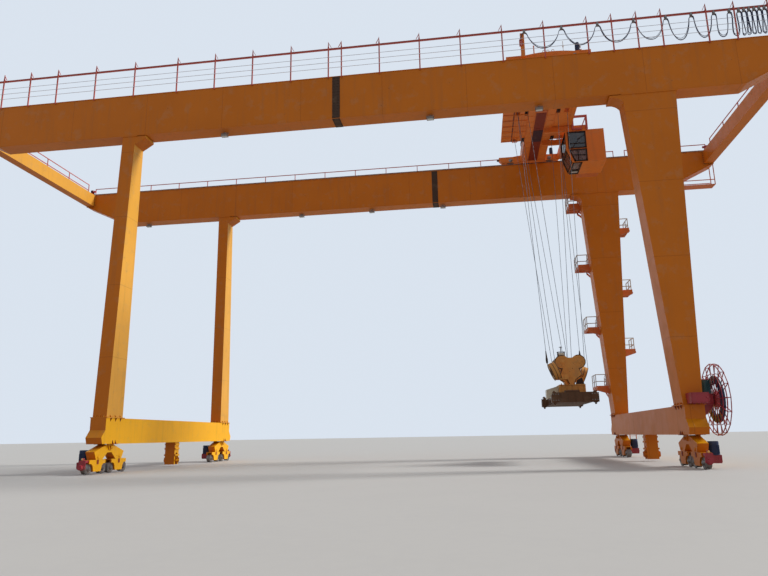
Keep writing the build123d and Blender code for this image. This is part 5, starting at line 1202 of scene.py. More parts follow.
class CRANE_OT_lamps(Operator):
    """Glaze the floodlights and give them fins and yokes"""

    bl_idname = "crane.lamps"
    bl_label = "Floodlights"

    def execute(self, context):
        glass, shells = forms(2)
        low, high = LAMP_GLASS_Z
        for x, y in LAMPS:
            glass.block((x - 0.086, y - 0.050, low), (x + 0.086, y + 0.050, high), 0.003)
            shells.rim((x - 0.093, y - 0.058, high), (x + 0.093, y + 0.058, high), -Z_AXIS, 0.014, 0.010)
            for dx in strewn(-0.05, 0.05, 6):
                shells.block((x + dx - 0.002, y - 0.055, 9.68), (x + dx + 0.002, y + 0.055, 9.700))
            for out in both(1):
                shells.plate_xz([(x + out * dx, z) for dx, z in LAMP_YOKE], y - 0.012, 0.024)
        piece(glass, "floodlight_glass", "lamp_lens", "gantry")
        piece(shells, "floodlight_shells", "lamp_grey", "gantry")
        return {"FINISHED"}


# Cable reel

REEL = Vector((9.105, -4.0, 1.57))
REEL_MOTOR = Vector((8.8925, -4.0, 1.70))
HUB_PLATE = ((0, 0.165), (0.008, 0.165), (0.012, 0.150), (0.012, 0.080), (0.030, 0.070), (0.036, 0.050))
BOX_KNOB = ((0, 0.016), (0.012, 0.014), (0.020, 0.018), (0.026, 0.010))


class CRANE_OT_reel(Operator):
    """Wind the power cable on its reel, and fit its hub, motor and slip-ring box"""

    bl_idname = "crane.reel"
    bl_label = "Cable reel"

    def execute(self, context):
        cable, hub, motor, box = forms(4)
        for x in both(0.0190):
            for radius in strewn(0.392, 0.540, 7):
                cable.hoop(REEL + X_AXIS * x, X_AXIS, radius, 0.0135, 64)
        for out in both(1):
            face, axis = REEL + X_AXIS * out * 0.050, X_AXIS * out
            hub.turned(face, axis, HUB_PLATE, 32)
            hub.ring_of_bolts(face + axis * 0.012, axis, 0.120, 12, 0.009)
            hub.hoop(face, X_AXIS, 0.60, 0.009, 48)
        for x in both(0.042):
            hub.hoop(REEL + X_AXIS * x, X_AXIS, 0.834, 0.010, 48)
        finned_motor(motor, REEL_MOTOR, Z_AXIS, 0.345, 0.110)
        for side in both(1):
            y, axis = REEL.y + side * 0.13, Y_AXIS * side
            box.rim((8.795, y, 1.46), (8.990, y, 1.68), axis, 0.016, 0.008)
            box.cap((REEL_MOTOR.x, y, REEL.z), axis, 0.055, 0.010, 0.040, 24)
            box.ring_of_bolts((REEL_MOTOR.x, y, REEL.z), axis, 0.075, 6, 0.007)
        low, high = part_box("reel_box")
        y = low.y
        box.rim((low.x + 0.02, y, low.z + 0.02), (high.x - 0.02, y, high.z - 0.02), -Y_AXIS, 0.014, 0.006)
        box.bolts((low.x + 0.045, y, low.z + 0.05), (low.x + 0.045, y, high.z - 0.05), 3, -Y_AXIS, 0.007)
        box.turned((high.x - 0.05, y, 1.59), -Y_AXIS, BOX_KNOB, 16)
        for dx in (0.10, 0.20, 0.30):
            box.cap((low.x + dx, y + 0.12, low.z), -Z_AXIS, 0.016, 0.02, 0.010, 12, rise=0.01)
        piece(cable, "reel_windings", "cable_dark", "reel")
        piece(hub, "reel_hub_plates", "gear_red", "reel")
        piece(motor, "reel_motor_shell", "drive_teal", "gantry")
        piece(box, "reel_box_fittings", "gear_red", "gantry")
        return {"FINISHED"}


# Trolley

WHEELS_X = (5.218, 6.688)
WHEEL_Z = 11.2753
SLOTS_X = (5.260, 5.577, 6.542, 6.840)
SLOTS_Y = (-0.640, 1.380)
DRUMS_X = (5.7258, 6.3492)
DRUM_ENDS = (-1.200, 1.900)
DRUM_Z = 11.850
MOTOR_Z = 11.69
DECK_LOW = 11.140
DECK_TOP = 11.425
PLATES_LOW = 11.150
PLATES_TOP = 11.161
MAST_Y = -3.490
BEARING = ((0, 0.085), (0.012, 0.085), (0.018, 0.060), (0.040, 0.030))
WHEEL_HUB = ((0, 0.075), (0.010, 0.075), (0.014, 0.060), (0.034, 0.040), (0.040, 0.024))
TROLLEY_BUFFER = ((0, 0.05), (0.012, 0.05), (0.016, 0.036), (0.07, 0.038), (0.078, 0.026))
SIDE_PANELS_X = ((4.86, 5.07), (5.37, 5.58), (5.87, 6.20), (6.83, 6.98))
STRIP_X = (5.872, 6.202)
DECK_HOOP = ((0, 11.46), (0, 11.565), (0.010, 11.580), (0.060, 11.580), (0.070, 11.565), (0.070, 11.50))


class CRANE_OT_trolley(Operator):
    """Fit the trolley's motors, bearings, deck, wheel hubs and travel drives"""

    bl_idname = "crane.trolley"
    bl_label = "Trolley"

    def execute(self, context):
        stiffeners, motors, steel, dark, strip, panel, hatch, mast, lining = forms(9)
        near, far = DRUM_ENDS
        for x in DRUMS_X:
            finned_motor(motors, (x, 2.4406, MOTOR_Z), Y_AXIS, 0.52, 0.130)
            for y, out in ((near - 0.1203, -1), (near, -1), (far, 1)):
                steel.turned((x, y, DRUM_Z), (0, out, 0), BEARING, 24)
                steel.ring_of_bolts((x, y + out * 0.012, DRUM_Z), (0, out, 0), 0.070, 8, 0.007)
            stiffeners.rim((x - 0.12, 2.10, 12.0), (x + 0.12, 2.36, 12.0), Z_AXIS, 0.02, 0.010)
            steel.turned((x, 2.4206, MOTOR_Z), -Y_AXIS, [(0, 0.02), (0.01, 0.02)], 12)
            for y in (near - 0.06, far + 0.06):
                for dx in both(0.10):
                    steel.bolt((x + dx, y, 11.56), Z_AXIS, 0.013)
        for side in both(CRANE_RAIL_Y):
            for x in WHEELS_X:
                for out in both(1):
                    steel.turned((x, side + out * 0.100, WHEEL_Z), (0, out, 0), WHEEL_HUB, 22)
                    steel.ring_of_bolts((x, side + out * 0.110, WHEEL_Z), (0, out, 0), 0.062, 6, 0.008)
            for x, out in ((4.770, -1), (7.136, 1)):
                dark.turned((x, side, 11.345), (out, 0, 0), TROLLEY_BUFFER, 18)
            finned_motor(motors, (6.79, side, DECK_TOP), Z_AXIS, 0.30, 0.062, 16)
            strip.block((6.725, side - 0.075, DECK_TOP), (6.860, side + 0.075, 11.450), 0.008)
            stiffeners.bolts((4.86, side, DECK_TOP), (5.16, side, DECK_TOP), 5, Z_AXIS, 0.010)
            for left, right in SIDE_PANELS_X:
                for out in both(1):
                    y = side + out * 0.100
                    stiffeners.rim((left, y, 11.24), (right, y, 11.39), (0, out, 0), 0.012, 0.005)
        self.slots(dark, lining)
        self.deck(stiffeners, strip, panel, hatch)
        self.masts(panel, mast)
        piece(panel, "deck_panels", "landing_red", "trolley")
        piece(hatch, "deck_hatch", "hatch_dark", "trolley")
        piece(mast, "trolley_masts", "guard_pale", "trolley")
        piece(stiffeners, "trolley_stiffeners", "trolley_orange", "trolley")
        piece(motors, "trolley_motor_shells", "drive_navy", "trolley")
        piece(steel, "trolley_bearings", "wheel_steel", "trolley")
        # The inner rope slots' near-black collars are painted shade; the trolley's buffers share this piece
        piece(dark, "rope_slot_collars", "splice_dark", "trolley")
        piece(lining, "outer_slot_collars", "trolley_orange", "trolley")
        piece(strip, "deck_strips", "strip_red", "trolley")
        return {"FINISHED"}

    def slots(self, dark, lining):
        """Collars round the slots that the ropes pass; the inner slots' collars are near-black, a painted
        shade for the shade that parts above cast into them.
        """
        low, high = 11.175, 11.43
        for x in SLOTS_X:
            form = dark if x in SLOTS_X[1:3] else lining
            for y in SLOTS_Y:
                back = y + 0.152
                form.block((x - 0.090, back, low), (x + 0.090, y + 0.164, high))
                for out in both(1):
                    form.plate_yz([(y - 0.150, low), (back, low), (back, high), (y - 0.02, high)],
                                  x + out * 0.078, out * 0.010)
                form.rim((x - 0.080, y - 0.155, DECK_LOW + 0.020), (x + 0.080, y + 0.155, DECK_LOW + 0.020),
                         -Z_AXIS, 0.014, 0.012)

    def deck(self, stiffeners, strip, panel, hatch):
        """Ribs, strips and covers on the deck's underside."""
        for y in strewn(-3.2, 3.2, 17):
            for left, right in ((5.600, 5.850), (6.224, 6.500)):
                stiffeners.block((left, y, 11.139), (right, y + 0.010, 11.131))
        for x in (5.610, 5.838, 6.234, 6.488):
            stiffeners.block((x - 0.004, -3.2, 11.139), (x + 0.004, 3.2, 11.127))
        for low, high, form, deep in ((-3.25, -0.78, strip, 0.006), (-0.76, -0.62, panel, 0.034),
                                      (-0.60, 0.70, strip, 0.010), (0.72, 1.59, hatch, 0.016),
                                      (1.61, 3.25, strip, 0.006)):
            form.block((STRIP_X[0], low, 11.160), (STRIP_X[1], high, 11.160 - deep))
        strip.rim((5.96, -0.50, PLATES_LOW), (6.11, 0.55, PLATES_LOW), -Z_AXIS, 0.02, 0.006)
        for y in strewn(-1.35, 1.40, 8):
            panel.block((4.805, y - 0.016, PLATES_LOW), (5.120, y + 0.016, PLATES_TOP), 0.002)
        hatch.block((5.128, -1.39, PLATES_LOW), (5.152, 1.47, PLATES_TOP), 0.002)
        panel.block((5.160, -1.39, PLATES_TOP), (5.176, 1.47, 11.152))
        for x in strewn(5.23, 5.50, 4):
            panel.block((x - 0.007, -0.46, 11.153), (x + 0.007, 1.20, PLATES_TOP), 0.001)
        for y in (-1.30, 1.44):
            panel.block((5.18, y - 0.02, PLATES_LOW), (5.52, y + 0.02, PLATES_TOP), 0.002)

    def masts(self, panel, mast):
        """The small post, mast, hoops and horn over the near end carriage."""
        panel.block((5.560, -3.535, 11.470), (5.590, -3.505, 11.730), 0.004)
        panel.cap((5.575, -3.520, 11.730), Z_AXIS, 0.022, 0.014, 0.012, 14)
        mast.rod((6.400, MAST_Y, 11.440), (6.400, MAST_Y, 11.830), 0.009, 10)
        mast.cap((6.400, MAST_Y, 11.640), Z_AXIS, 0.020, 0.030, 0.010, 12)
        for x in (5.82, 5.93, 6.07):
            mast.tube([(x + dx, -3.50, z) for dx, z in DECK_HOOP], 0.008)
        panel.block((6.862, -3.53, DECK_TOP), (6.905, -3.46, 11.500), 0.008)
        mast.turned((6.855, MAST_Y, 11.60), X_AXIS, [(0, 0.030), (0.020, 0.034), (0.030, 0.026)], 16)
        mast.rod((6.84, MAST_Y, 11.60), (6.80, MAST_Y, 11.60), 0.010, 8)


# Cab

CAB_LEFT = 6.900
CAB_Y = (0.520, 1.620)
FRONT_Y = (0.590, 1.550)
CAB_FLOOR = 9.800
PANES_X = 7.555
LOW_PANE = (9.835, 10.245)
HIGH_PANE = (10.315, 10.890)
FRAME_WIDTH = 0.042
FRAME_DEPTH = 0.014


def rake(z):
    """The X of the cab's raked lower front at a height."""
    return CAB_LEFT + 0.170 * (1 - (z - CAB_FLOOR) / 0.480)


class CRANE_OT_cab(Operator):
    """Frame the cab's windows and fit its wiper, floor bars, console and rear ledge"""

    bl_idname = "crane.cab"
    bl_label = "Cab"

    def execute(self, context):
        frames, pale, inside, ledge = forms(4)
        near, far = CAB_Y
        low, high = LOW_PANE
        for y, out in ((near, -1), (far, 1)):
            axis, bar = (0, out, 0), y + out * 0.012
            frames.rim((6.995, y, HIGH_PANE[0]), (PANES_X, y, HIGH_PANE[1]), axis, FRAME_WIDTH, FRAME_DEPTH)
            frames.border([(rake(low) + 0.095, y, low), (PANES_X, y, low), (PANES_X, y, high),
                           (rake(high) + 0.095, y, high)], axis, FRAME_WIDTH, FRAME_DEPTH)
            frames.block((7.0, y, 10.462), (7.55, bar, 10.486))
            frames.plate_xz([(7.08, 10.05), (7.55, 10.02), (7.55, 10.045), (7.08, 10.075)], y, out * 0.012)
            frames.block((7.265, y, 9.84), (7.290, bar, 10.24))
            face = y + out * FRAME_DEPTH
            frames.bolts((7.02, face, 10.905), (7.53, face, 10.905), 5, axis, 0.006)
        frames.rim((CAB_LEFT, FRONT_Y[0], HIGH_PANE[0]), (CAB_LEFT, FRONT_Y[1], HIGH_PANE[1]), -X_AXIS,
                   FRAME_WIDTH, FRAME_DEPTH)
        corners = [(y, z) for z, sides in ((low, FRONT_Y), (high, FRONT_Y[::-1])) for y in sides]
        frames.border([(rake(z), y, z) for y, z in corners], (-1, 0, -0.35), FRAME_WIDTH, FRAME_DEPTH)
        frames.block((CAB_LEFT, 1.060, 10.32), (CAB_LEFT - 0.010, 1.085, 10.885))
        frames.rim((7.105, FRONT_Y[0], CAB_FLOOR), (7.375, FRONT_Y[1], CAB_FLOOR), -Z_AXIS,
                   0.050, FRAME_DEPTH)
        frames.block((7.09, 1.21, CAB_FLOOR), (7.39, 1.29, CAB_FLOOR - 0.016))
        pale.block((7.12, 1.34, CAB_FLOOR), (7.36, 1.46, CAB_FLOOR - 0.010))
        pale.block((7.12, 1.36, 9.789), (7.36, 1.38, 9.783))
        frames.rod((7.10, near - 0.016, 10.33), (7.40, near - 0.016, 10.70), 0.006, 8)
        frames.rod((7.28, near - 0.018, 10.62), (7.52, near - 0.018, 10.76), 0.008, 8)
        frames.turned((7.10, near, 10.33), -Y_AXIS, [(0, 0.022), (0.02, 0.018), (0.026, 0.010)], 14)
        for y in (0.69, 1.45):
            inside.block((7.42, y - 0.07, 9.826), (7.62, y + 0.07, 10.18), 0.012)
        inside.plate_xz([(7.60, 9.826), (7.90, 9.826), (7.86, 10.02), (7.64, 10.02)], 0.86, 0.42)
        inside.plate_xz([(7.84, 10.03), (7.90, 10.03), (7.98, 10.55), (7.92, 10.55)], 0.88, 0.38)
        for y in (0.69, 1.45):
            inside.turned((7.48, y, 10.18), Z_AXIS,
                          [(0, 0.02), (0.01, 0.012), (0.09, 0.010), (0.10, 0.018), (0.125, 0.012)], 12)
        ledge.block((7.380, 1.645, CAB_FLOOR), (8.120, 1.960, 9.826), 0.006)
        ledge.block((7.380, 1.620, 9.802), (8.120, 1.645, 9.870), 0.004)
        for x in (7.40, 7.74, 8.08):
            ledge.plate_yz([(1.645, 9.826), (1.95, 9.826), (1.95, 9.850), (1.645, 9.950)], x, 0.016)
        for x in (7.39, 8.11):
            ledge.tube([(x, 1.945, 9.83), (x, 1.945, 10.25), (x, 1.93, 10.27), (x, 1.625, 10.27)], 0.010)
        ledge.tube([(7.39, 1.945, 10.26), (8.11, 1.945, 10.26)], 0.010)
        ledge.bolts((CAB_LEFT + 0.08, near, 10.930), (CAB_LEFT + 1.20, near, 10.930), 6, -Y_AXIS, 0.007)
        piece(frames, "window_frames", "frame_dark", "trolley")
        piece(pale, "floor_window_bars", "guard_pale", "trolley")
        piece(inside, "cab_console", "rubber_black", "trolley")
        piece(ledge, "cab_ledge", "landing_red", "trolley")
        return {"FINISHED"}


# Head block, ropes and spreader

HEAD_X = 6.310
BASE_LOW = 1.992
BASE_TOP = 2.260
LOBE_Z = 2.940
LOBES_X = (HEAD_X - 0.245, HEAD_X + 0.245)
LOBE_RADIUS = 0.200
CLOVER_Y = (0.480, 0.280)
CLOVER_NECK = ((0.320, 0.290), (0.125, 0.145), (0.068, 0.010))
LOBE_CAP = ((0, 0.075), (0.008, 0.075), (0.012, 0.060), (0.016, 0.034), (0.026, 0.030))
CABINET = ((5.570, 1.845), (5.700, 1.900), (5.700, 1.985), (5.928, 1.985), (5.928, 2.235), (5.570, 2.130))
CABINET_DOOR = ((5.590, 2.005), (5.908, 2.005), (5.908, 2.205), (5.590, 2.115))
CABINET_Y = -0.36
MAST_X = 6.070
CAGE_Y = -0.385
SIDE_BLOCK_TILT = math.radians(22)
SIDE_BLOCK_HUB = ((0, 0.10), (0.010, 0.10), (0.016, 0.08), (0.030, 0.05))
SIDE_BLOCK_Y = 0.770


class CRANE_OT_head(Operator):
    """Rim the head block's plates and fit its sheave caps, stiffeners and cabinet"""

    bl_idname = "crane.head"
    bl_label = "Head block"

    def execute(self, context):
        rims, steel, plates, cabinet = forms(4)
        for side in both(1):
            for y, out in ((side * CLOVER_Y[0], side), (side * CLOVER_Y[1], -side)):
                self.clover(rims, plates, y, out)
        for y in both(0.550):
            out = math.copysign(1, y)
            for x in strewn(HEAD_X - 0.34, HEAD_X + 0.34, 5):
                plates.block((x - 0.006, y, BASE_LOW + 0.01), (x + 0.006, y + out * 0.030, BASE_TOP - 0.01))
            plates.block((HEAD_X - 0.37, y, BASE_TOP - 0.022),
                         (HEAD_X + 0.37, y + out * 0.032, BASE_TOP - 0.006), 0.003)
            plates.bolts((HEAD_X - 0.28, y, BASE_LOW + 0.09), (HEAD_X + 0.28, y, BASE_LOW + 0.09), 8,
                         (0, out, 0), 0.010)
        for y in both(0.380):
            for x in both(0.2):
                plates.plate_yz([(y - 0.09, BASE_TOP), (y + 0.09, BASE_TOP), (y + 0.05, BASE_TOP + 0.10),
                                 (y - 0.05, BASE_TOP + 0.10)], HEAD_X + x - 0.01, 0.02)
        cabinet.plate_xz(CABINET, CABINET_Y, 0.38)
        cabinet.border([(x, CABINET_Y, z) for x, z in CABINET_DOOR], -Y_AXIS, 0.010, 0.005)
        cabinet.bolts((5.60, CABINET_Y, 1.87), (5.69, CABINET_Y, 1.91), 2, -Y_AXIS, 0.005)
        cabinet.block((5.985, -0.46, 3.140), (6.150, -0.30, 3.215), 0.010)
        for x in (5.975, 6.165):
            for y in (-0.47, -0.30):
                rims.rod((x, y, 3.10), (x, y, 3.255), 0.010, 8)
        rims.hoop((MAST_X, CAGE_Y, 3.250), Z_AXIS, 0.120, 0.008, 24, 6)
        rims.rod((MAST_X, CAGE_Y, 3.215), (MAST_X, CAGE_Y, 3.420), 0.011, 8)
        rims.rod((MAST_X - 0.050, CAGE_Y, 3.400), (MAST_X + 0.050, CAGE_Y, 3.400), 0.009, 8)
        rims.plate_xz([(HEAD_X + 0.10, BASE_TOP), (HEAD_X + 0.36, BASE_TOP), (HEAD_X + 0.30, BASE_TOP + 0.20),
                       (HEAD_X + 0.16, BASE_TOP + 0.13)], -0.50, -0.012)
        for side in both(1):
            place = Vector((HEAD_X + side * 0.610, side * SIDE_BLOCK_Y, BASE_TOP + 0.350))
            axis = Vector((-side * math.cos(SIDE_BLOCK_TILT), 0, math.sin(SIDE_BLOCK_TILT)))
            steel.turned(place, -axis, SIDE_BLOCK_HUB, 28)
            steel.ring_of_bolts(place - axis * 0.010, -axis, 0.085, 8, 0.008)
            for along in (0.004, 0.100, 0.196):
                rims.hoop(place + axis * along, axis, 0.260, 0.008, 44, 6)
            for radius in (0.16, 0.22):
                rims.hoop(place, axis, radius, 0.006, 36, 6)
        piece(rims, "clover_rims", "frame_dark", "hoist")
        piece(steel, "side_block_hubs", "splice_dark", "hoist")
        piece(plates, "head_block_stiffeners", "head_ochre", "hoist")
        piece(cabinet, "head_cabinet", "panel_cream", "hoist")
        return {"FINISHED"}

    def clover(self, rims, plates, y, out):
        """Rims, caps and bolts on one face of a clover-leaf plate."""
        axis, face = (0, out, 0), y + out * 0.008
        for x, turn in zip(LOBES_X, both(1)):
            arc = [math.radians(90 - turn * degrees) for degrees in range(-20, 195, 12)]
            rims.tube([(x + LOBE_RADIUS * math.cos(theta), y, LOBE_Z + LOBE_RADIUS * math.sin(theta))
                       for theta in arc], 0.011, 6)
            plates.turned((x, y, LOBE_Z), axis, LOBE_CAP, 24)
            plates.ring_of_bolts((x, face, LOBE_Z), axis, 0.062, 6, 0.007)
            neck = [(HEAD_X + turn * dx, y, BASE_TOP + dz) for dx, dz in CLOVER_NECK]
            rims.tube([(x, y, LOBE_Z - 0.205), *neck], 0.010, 6)
            plates.hoop((x, y + out * 0.002, LOBE_Z), Y_AXIS, 0.135, 0.007, 30, 6)
        plates.plate_xz([(HEAD_X - 0.05, BASE_TOP + 0.20), (HEAD_X + 0.05, BASE_TOP + 0.20),
                         (HEAD_X + 0.10, BASE_TOP + 0.50), (HEAD_X - 0.10, BASE_TOP + 0.50)], y, out * 0.008)
        plates.bolts((HEAD_X - 0.06, face, BASE_TOP + 0.46), (HEAD_X + 0.06, face, BASE_TOP + 0.46), 3, axis,
                     0.010)


# Where the ropes leave the head block
ROPE_RIM = 0.1878
ROPE_Y = 0.380
SIDE_ROPE = (0.7087, SIDE_BLOCK_Y, 2.8542)
SIDE_ROPE_GAP = 0.090
# The ropes that end in a socket: each one's number, and how far up it the socket begins and ends
SOCKETS = ((4, 0.02, 0.40), (8, 0.16, 0.44))


def at_height(foot, top, z):
    """The point at a height on the line through two points."""
    return foot.lerp(top, (z - foot.z) / (top.z - foot.z))


def rope_lines():
    """Each hoisting rope's foot on the head block, its slot in the trolley's frame and its top."""
    lines = []
    feet_x = [x + rim for x in LOBES_X for rim in both(ROPE_RIM)]
    for side, slot_y in zip(both(1), SLOTS_Y):
        for foot_x, slot_x in zip(feet_x, SLOTS_X):
            foot, slot = Vector((foot_x, side * ROPE_Y, LOBE_Z)), Vector((slot_x, slot_y, DECK_LOW))
            lines.append((foot, slot, at_height(foot, slot, DRUM_Z)))
        foot = Vector((HEAD_X + side * SIDE_ROPE[0], side * SIDE_ROPE[1], SIDE_ROPE[2]))
        top = lines[-4 if side < 0 else -1][2] + Vector((0, side * SIDE_ROPE_GAP, 0))
        lines.append((foot, at_height(foot, top, DECK_LOW), top))
    return lines


class CRANE_OT_ropes(Operator):
    """String the hoisting ropes from the head block to the drums, with their sockets"""

    bl_idname = "crane.ropes"
    bl_label = "Hoisting ropes"

    def execute(self, context):
        ropes, sockets = forms(2)
        lines = rope_lines()
        for line in lines:
            ropes.tube(line, 0.007)
        for index, low, high in SOCKETS:
            foot, slot = lines[index][:2]
            run = (slot - foot).normalized()
            sockets.turned(foot + run * low, run,
                           [(0, 0.016), (0.03, 0.030), (0.13, 0.034), (0.20, 0.024), (high - low, 0.012)], 14)
        strung = piece(ropes, "hoisting_ropes", "rope_steel", replaces=("hoist_ropes",))
        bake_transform(strung)
        piece(sockets, "rope_sockets", "frame_dark", "hoist")
        return {"FINISHED"}


SPREADER_X = 6.222
SPREADER_LOW = 1.690
LOCK_X = 0.56475
LOCK_Y = 1.46325
LOCK_TOP = 1.970
LOCK_FLAG = ((-0.012, 1.640), (0.034, 1.640), (0.020, 1.628), (-0.020, 1.628))
LOCK_HEAD = ((0, 0.055), (0.020, 0.055), (0.030, 0.030), (0.050, 0.028))
TANK_TOP = 2.055


class CRANE_OT_spreader(Operator):
    """Fit the spreader's lock housings, guides, bolts and hydraulic box"""

    bl_idname = "crane.spreader"
    bl_label = "Spreader"

    def execute(self, context):
        for name, side in (("near", -1), ("far", 1)):
            locks, marks = forms(2)
            y = side * LOCK_Y
            guard, face = y + side * 0.120, y + side * 0.132
            for out in both(1):
                x = SPREADER_X + out * LOCK_X
                locks.cap((x, y, SPREADER_LOW), -Z_AXIS, 0.062, 0.012, 0.040, 22)
                locks.plate_xz([(x + dx, z) for dx, z in LOCK_FLAG], y, 0.012)
                locks.turned((x, y, LOCK_TOP), Z_AXIS, LOCK_HEAD)
                locks.ring_of_bolts((x, y, LOCK_TOP), Z_AXIS, 0.046, 6, 0.006)
                locks.plate_xz([(x + out * 0.05, 1.72), (x + out * 0.08, 1.95), (x - out * 0.12, 1.95),
                                (x - out * 0.12, 1.72)], guard, side * 0.012)
                for z in (1.75, 1.92):
                    marks.bolts((x - out * 0.10, face, z), (x + out * 0.04, face, z), 3, (0, side, 0), 0.010)
            for x in strewn(SPREADER_X - 0.40, SPREADER_X + 0.40, 5):
                locks.block((x - 0.006, guard, 1.70), (x + 0.006, guard + side * 0.010, 1.95))
            piece(locks, f"lock_housings_{name}", "spreader_brown", f"spreader_{name}")
            piece(marks, f"lock_bolts_{name}", "bolt_steel", f"spreader_{name}")
        form = Form()
        for out in both(1):
            face = SPREADER_X + out * 0.480
            for y in strewn(-1.20, 1.20, 9):
                form.block((face, y - 0.006, 1.70), (face + out * 0.020, y + 0.006, 1.87))
            form.block((face, -1.28, 1.692), (face + out * 0.030, 1.28, 1.708), 0.004)
        for y in both(0.95):
            form.block((SPREADER_X - 0.20, y - 0.16, 1.940), (SPREADER_X + 0.20, y + 0.16, TANK_TOP), 0.015)
            form.rim((SPREADER_X - 0.16, y - 0.12, TANK_TOP), (SPREADER_X + 0.16, y + 0.12, TANK_TOP), Z_AXIS,
                     0.012, 0.006)
            form.bolts((SPREADER_X - 0.17, y - 0.14, TANK_TOP), (SPREADER_X + 0.17, y - 0.14, TANK_TOP), 4,
                       Z_AXIS, 0.007)
        piece(form, "spreader_ribs", "spreader_brown", "hoist")
        return {"FINISHED"}


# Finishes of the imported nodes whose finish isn't their slot's

NODE_FINISH = {
    "near_left_leg": "leg_yellow", "far_left_leg": "leg_yellow", "near_right_leg": "leg_yellow",
    "far_right_leg": "leg_yellow", "trolley_deck": "trolley_orange", "hoist_drums": "wheel_steel",
    "reel_drive": "gear_red", "travel_motors": "drive_navy", "left_sill_beam": "running_yellow",
    "right_sill_beam": "running_yellow", "equalisers": "running_yellow", "bogie_frames": "running_yellow",
    "anchor_posts": "running_yellow",
}


class CRANE_OT_finishes(Operator):
    """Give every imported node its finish"""

    bl_idname = "crane.finishes"
    bl_label = "Finishes"

    def execute(self, context):
        for entry in frame["record"]["subparts"]:
            node = frame["nodes"][entry["node"]]
            coat = finish(NODE_FINISH.get(entry["node"], entry["material_slot"]))
            if node.material_slots:
                for slot in node.material_slots:
                    slot.material = coat
            else:
                node.data.materials.append(coat)
        return {"FINISHED"}


# Stage

FLOOR_RADIUS = 400.0
KEY_COLOUR = (1.0, 0.97, 0.92)
SKY_COLOUR = (1.0, 0.98, 0.97, 1.0)
FLOOR_CLOUD = (0.94, 0.94, 0.95)
FLOOR_BOUNCE = (0.52, 0.50, 0.47)


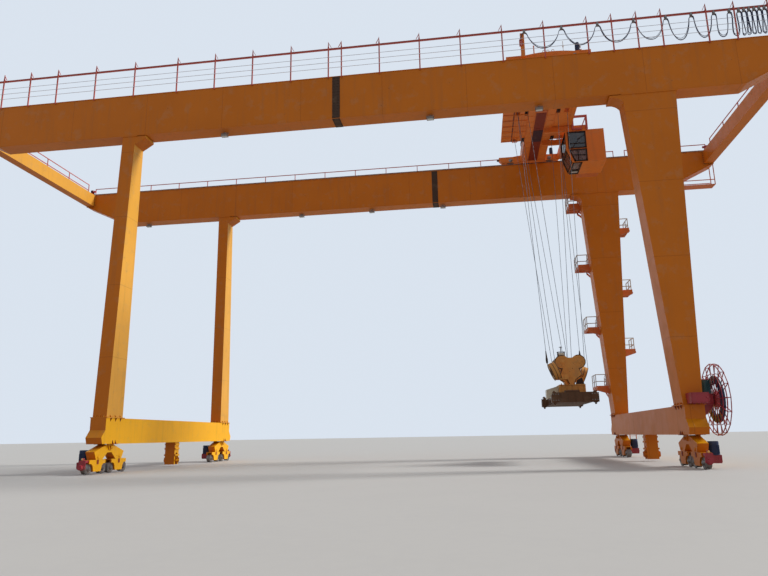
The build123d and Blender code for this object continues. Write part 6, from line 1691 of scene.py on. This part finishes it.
class CRANE_OT_stage(Operator):
    """Lay the floor, hang the pale backdrop and set the lamps"""

    bl_idname = "crane.stage"
    bl_label = "Stage"

    def execute(self, context):
        view = context.scene.crane_view
        form = Form()
        form.turned((0, 0, -0.03), Z_AXIS, [(0, FLOOR_RADIUS), (0.029, FLOOR_RADIUS)], 96)
        floor = bpy.data.objects.new("stage_floor", form.done("stage_floor"))
        context.scene.collection.objects.link(floor)
        floor.data.materials.append(self.floor_finish(view))
        lamp = bpy.data.lights.new("key", "SUN")
        lamp.energy = view.sun
        lamp.angle = view.sun_size
        lamp.color = KEY_COLOUR
        key = bpy.data.objects.new("key", lamp)
        context.scene.collection.objects.link(key)
        key.rotation_euler = Vector(view.sun_place).to_track_quat("Z", "Y").to_euler()
        self.backdrop(context, view)
        context.scene.view_settings.view_transform = "Standard"
        return {"FINISHED"}

    def floor_finish(self, view):
        """A pale floor that throws little colour back on the object."""
        paint = Paint("stage_floor")
        place = paint.place()
        cloud = paint.noise(place, 0.8)
        grain = paint.noise(place, 6.0)
        shade = paint.mix(view.floor, FLOOR_CLOUD, (cloud + grain - 1.0).above(-0.1, 0.2) * 0.25, "MULTIPLY")
        paint.surface(base_color=shade, roughness=0.8)
        dull = paint.node("ShaderNodeBsdfDiffuse", None, {"Color": FLOOR_BOUNCE})
        seen = paint.node("ShaderNodeLightPath", output="Is Camera Ray")
        shown = paint.node("ShaderNodeMixShader", None,
                           {0: seen, 1: dull, 2: Term(paint, paint.shader.outputs[0])})
        paint.feed(paint.output.inputs["Surface"], shown)
        return paint.material

    def backdrop(self, context, view):
        """Even white light from all round, and the backdrop's colour where the camera or a gloss looks."""
        world = bpy.data.worlds.new("backdrop")
        context.scene.world = world
        world.use_nodes = True
        tree = world.node_tree
        tree.nodes.clear()
        light = tree.nodes.new("ShaderNodeBackground")
        light.inputs["Color"].default_value = SKY_COLOUR
        light.inputs["Strength"].default_value = view.sky
        seen = tree.nodes.new("ShaderNodeBackground")
        seen.inputs["Color"].default_value = (*view.backdrop, 1.0)
        seen.inputs["Strength"].default_value = 1.0
        path = tree.nodes.new("ShaderNodeLightPath")
        first = tree.nodes.new("ShaderNodeMath")
        second = tree.nodes.new("ShaderNodeMath")
        first.operation = second.operation = "MAXIMUM"
        mixed = tree.nodes.new("ShaderNodeMixShader")
        output = tree.nodes.new("ShaderNodeOutputWorld")
        for source, target in ((path.outputs["Is Camera Ray"], first.inputs[0]),
                               (path.outputs["Is Glossy Ray"], first.inputs[1]),
                               (first.outputs[0], second.inputs[0]),
                               (path.outputs["Is Transmission Ray"], second.inputs[1]),
                               (second.outputs[0], mixed.inputs[0]),
                               (light.outputs[0], mixed.inputs[1]),
                               (seen.outputs[0], mixed.inputs[2]),
                               (mixed.outputs[0], output.inputs["Surface"])):
            tree.links.new(source, target)


class CRANE_PT_panel(Panel):
    """The crane's operators in the sidebar"""

    bl_idname = "CRANE_PT_panel"
    bl_label = "Gantry Crane"
    bl_space_type = "VIEW_3D"
    bl_region_type = "UI"
    bl_category = "Crane"

    def draw(self, context):
        for step in STEPS:
            self.layout.operator(step.bl_idname)


STEPS = (CRANE_OT_camera, CRANE_OT_festoon, CRANE_OT_bridge, CRANE_OT_legs, CRANE_OT_travel, CRANE_OT_fence,
         CRANE_OT_stairs, CRANE_OT_lamps, CRANE_OT_reel, CRANE_OT_trolley, CRANE_OT_cab, CRANE_OT_head,
         CRANE_OT_ropes, CRANE_OT_spreader, CRANE_OT_finishes, CRANE_OT_stage)
CLASSES = (CranePaints, CraneSizes, CraneView, *STEPS, CRANE_PT_panel)


def register():
    for kind in CLASSES:
        bpy.utils.register_class(kind)
    bpy.types.Scene.crane_paints = PointerProperty(type=CranePaints)
    bpy.types.Scene.crane_sizes = PointerProperty(type=CraneSizes)
    bpy.types.Scene.crane_view = PointerProperty(type=CraneView)


def unregister():
    del bpy.types.Scene.crane_view
    del bpy.types.Scene.crane_sizes
    del bpy.types.Scene.crane_paints
    for kind in reversed(CLASSES):
        bpy.utils.unregister_class(kind)


def main():
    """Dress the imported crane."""
    register()
    for step in STEPS:
        group, name = step.bl_idname.split(".")
        getattr(getattr(bpy.ops, group), name)()


if __name__ == "__main__":
    main()
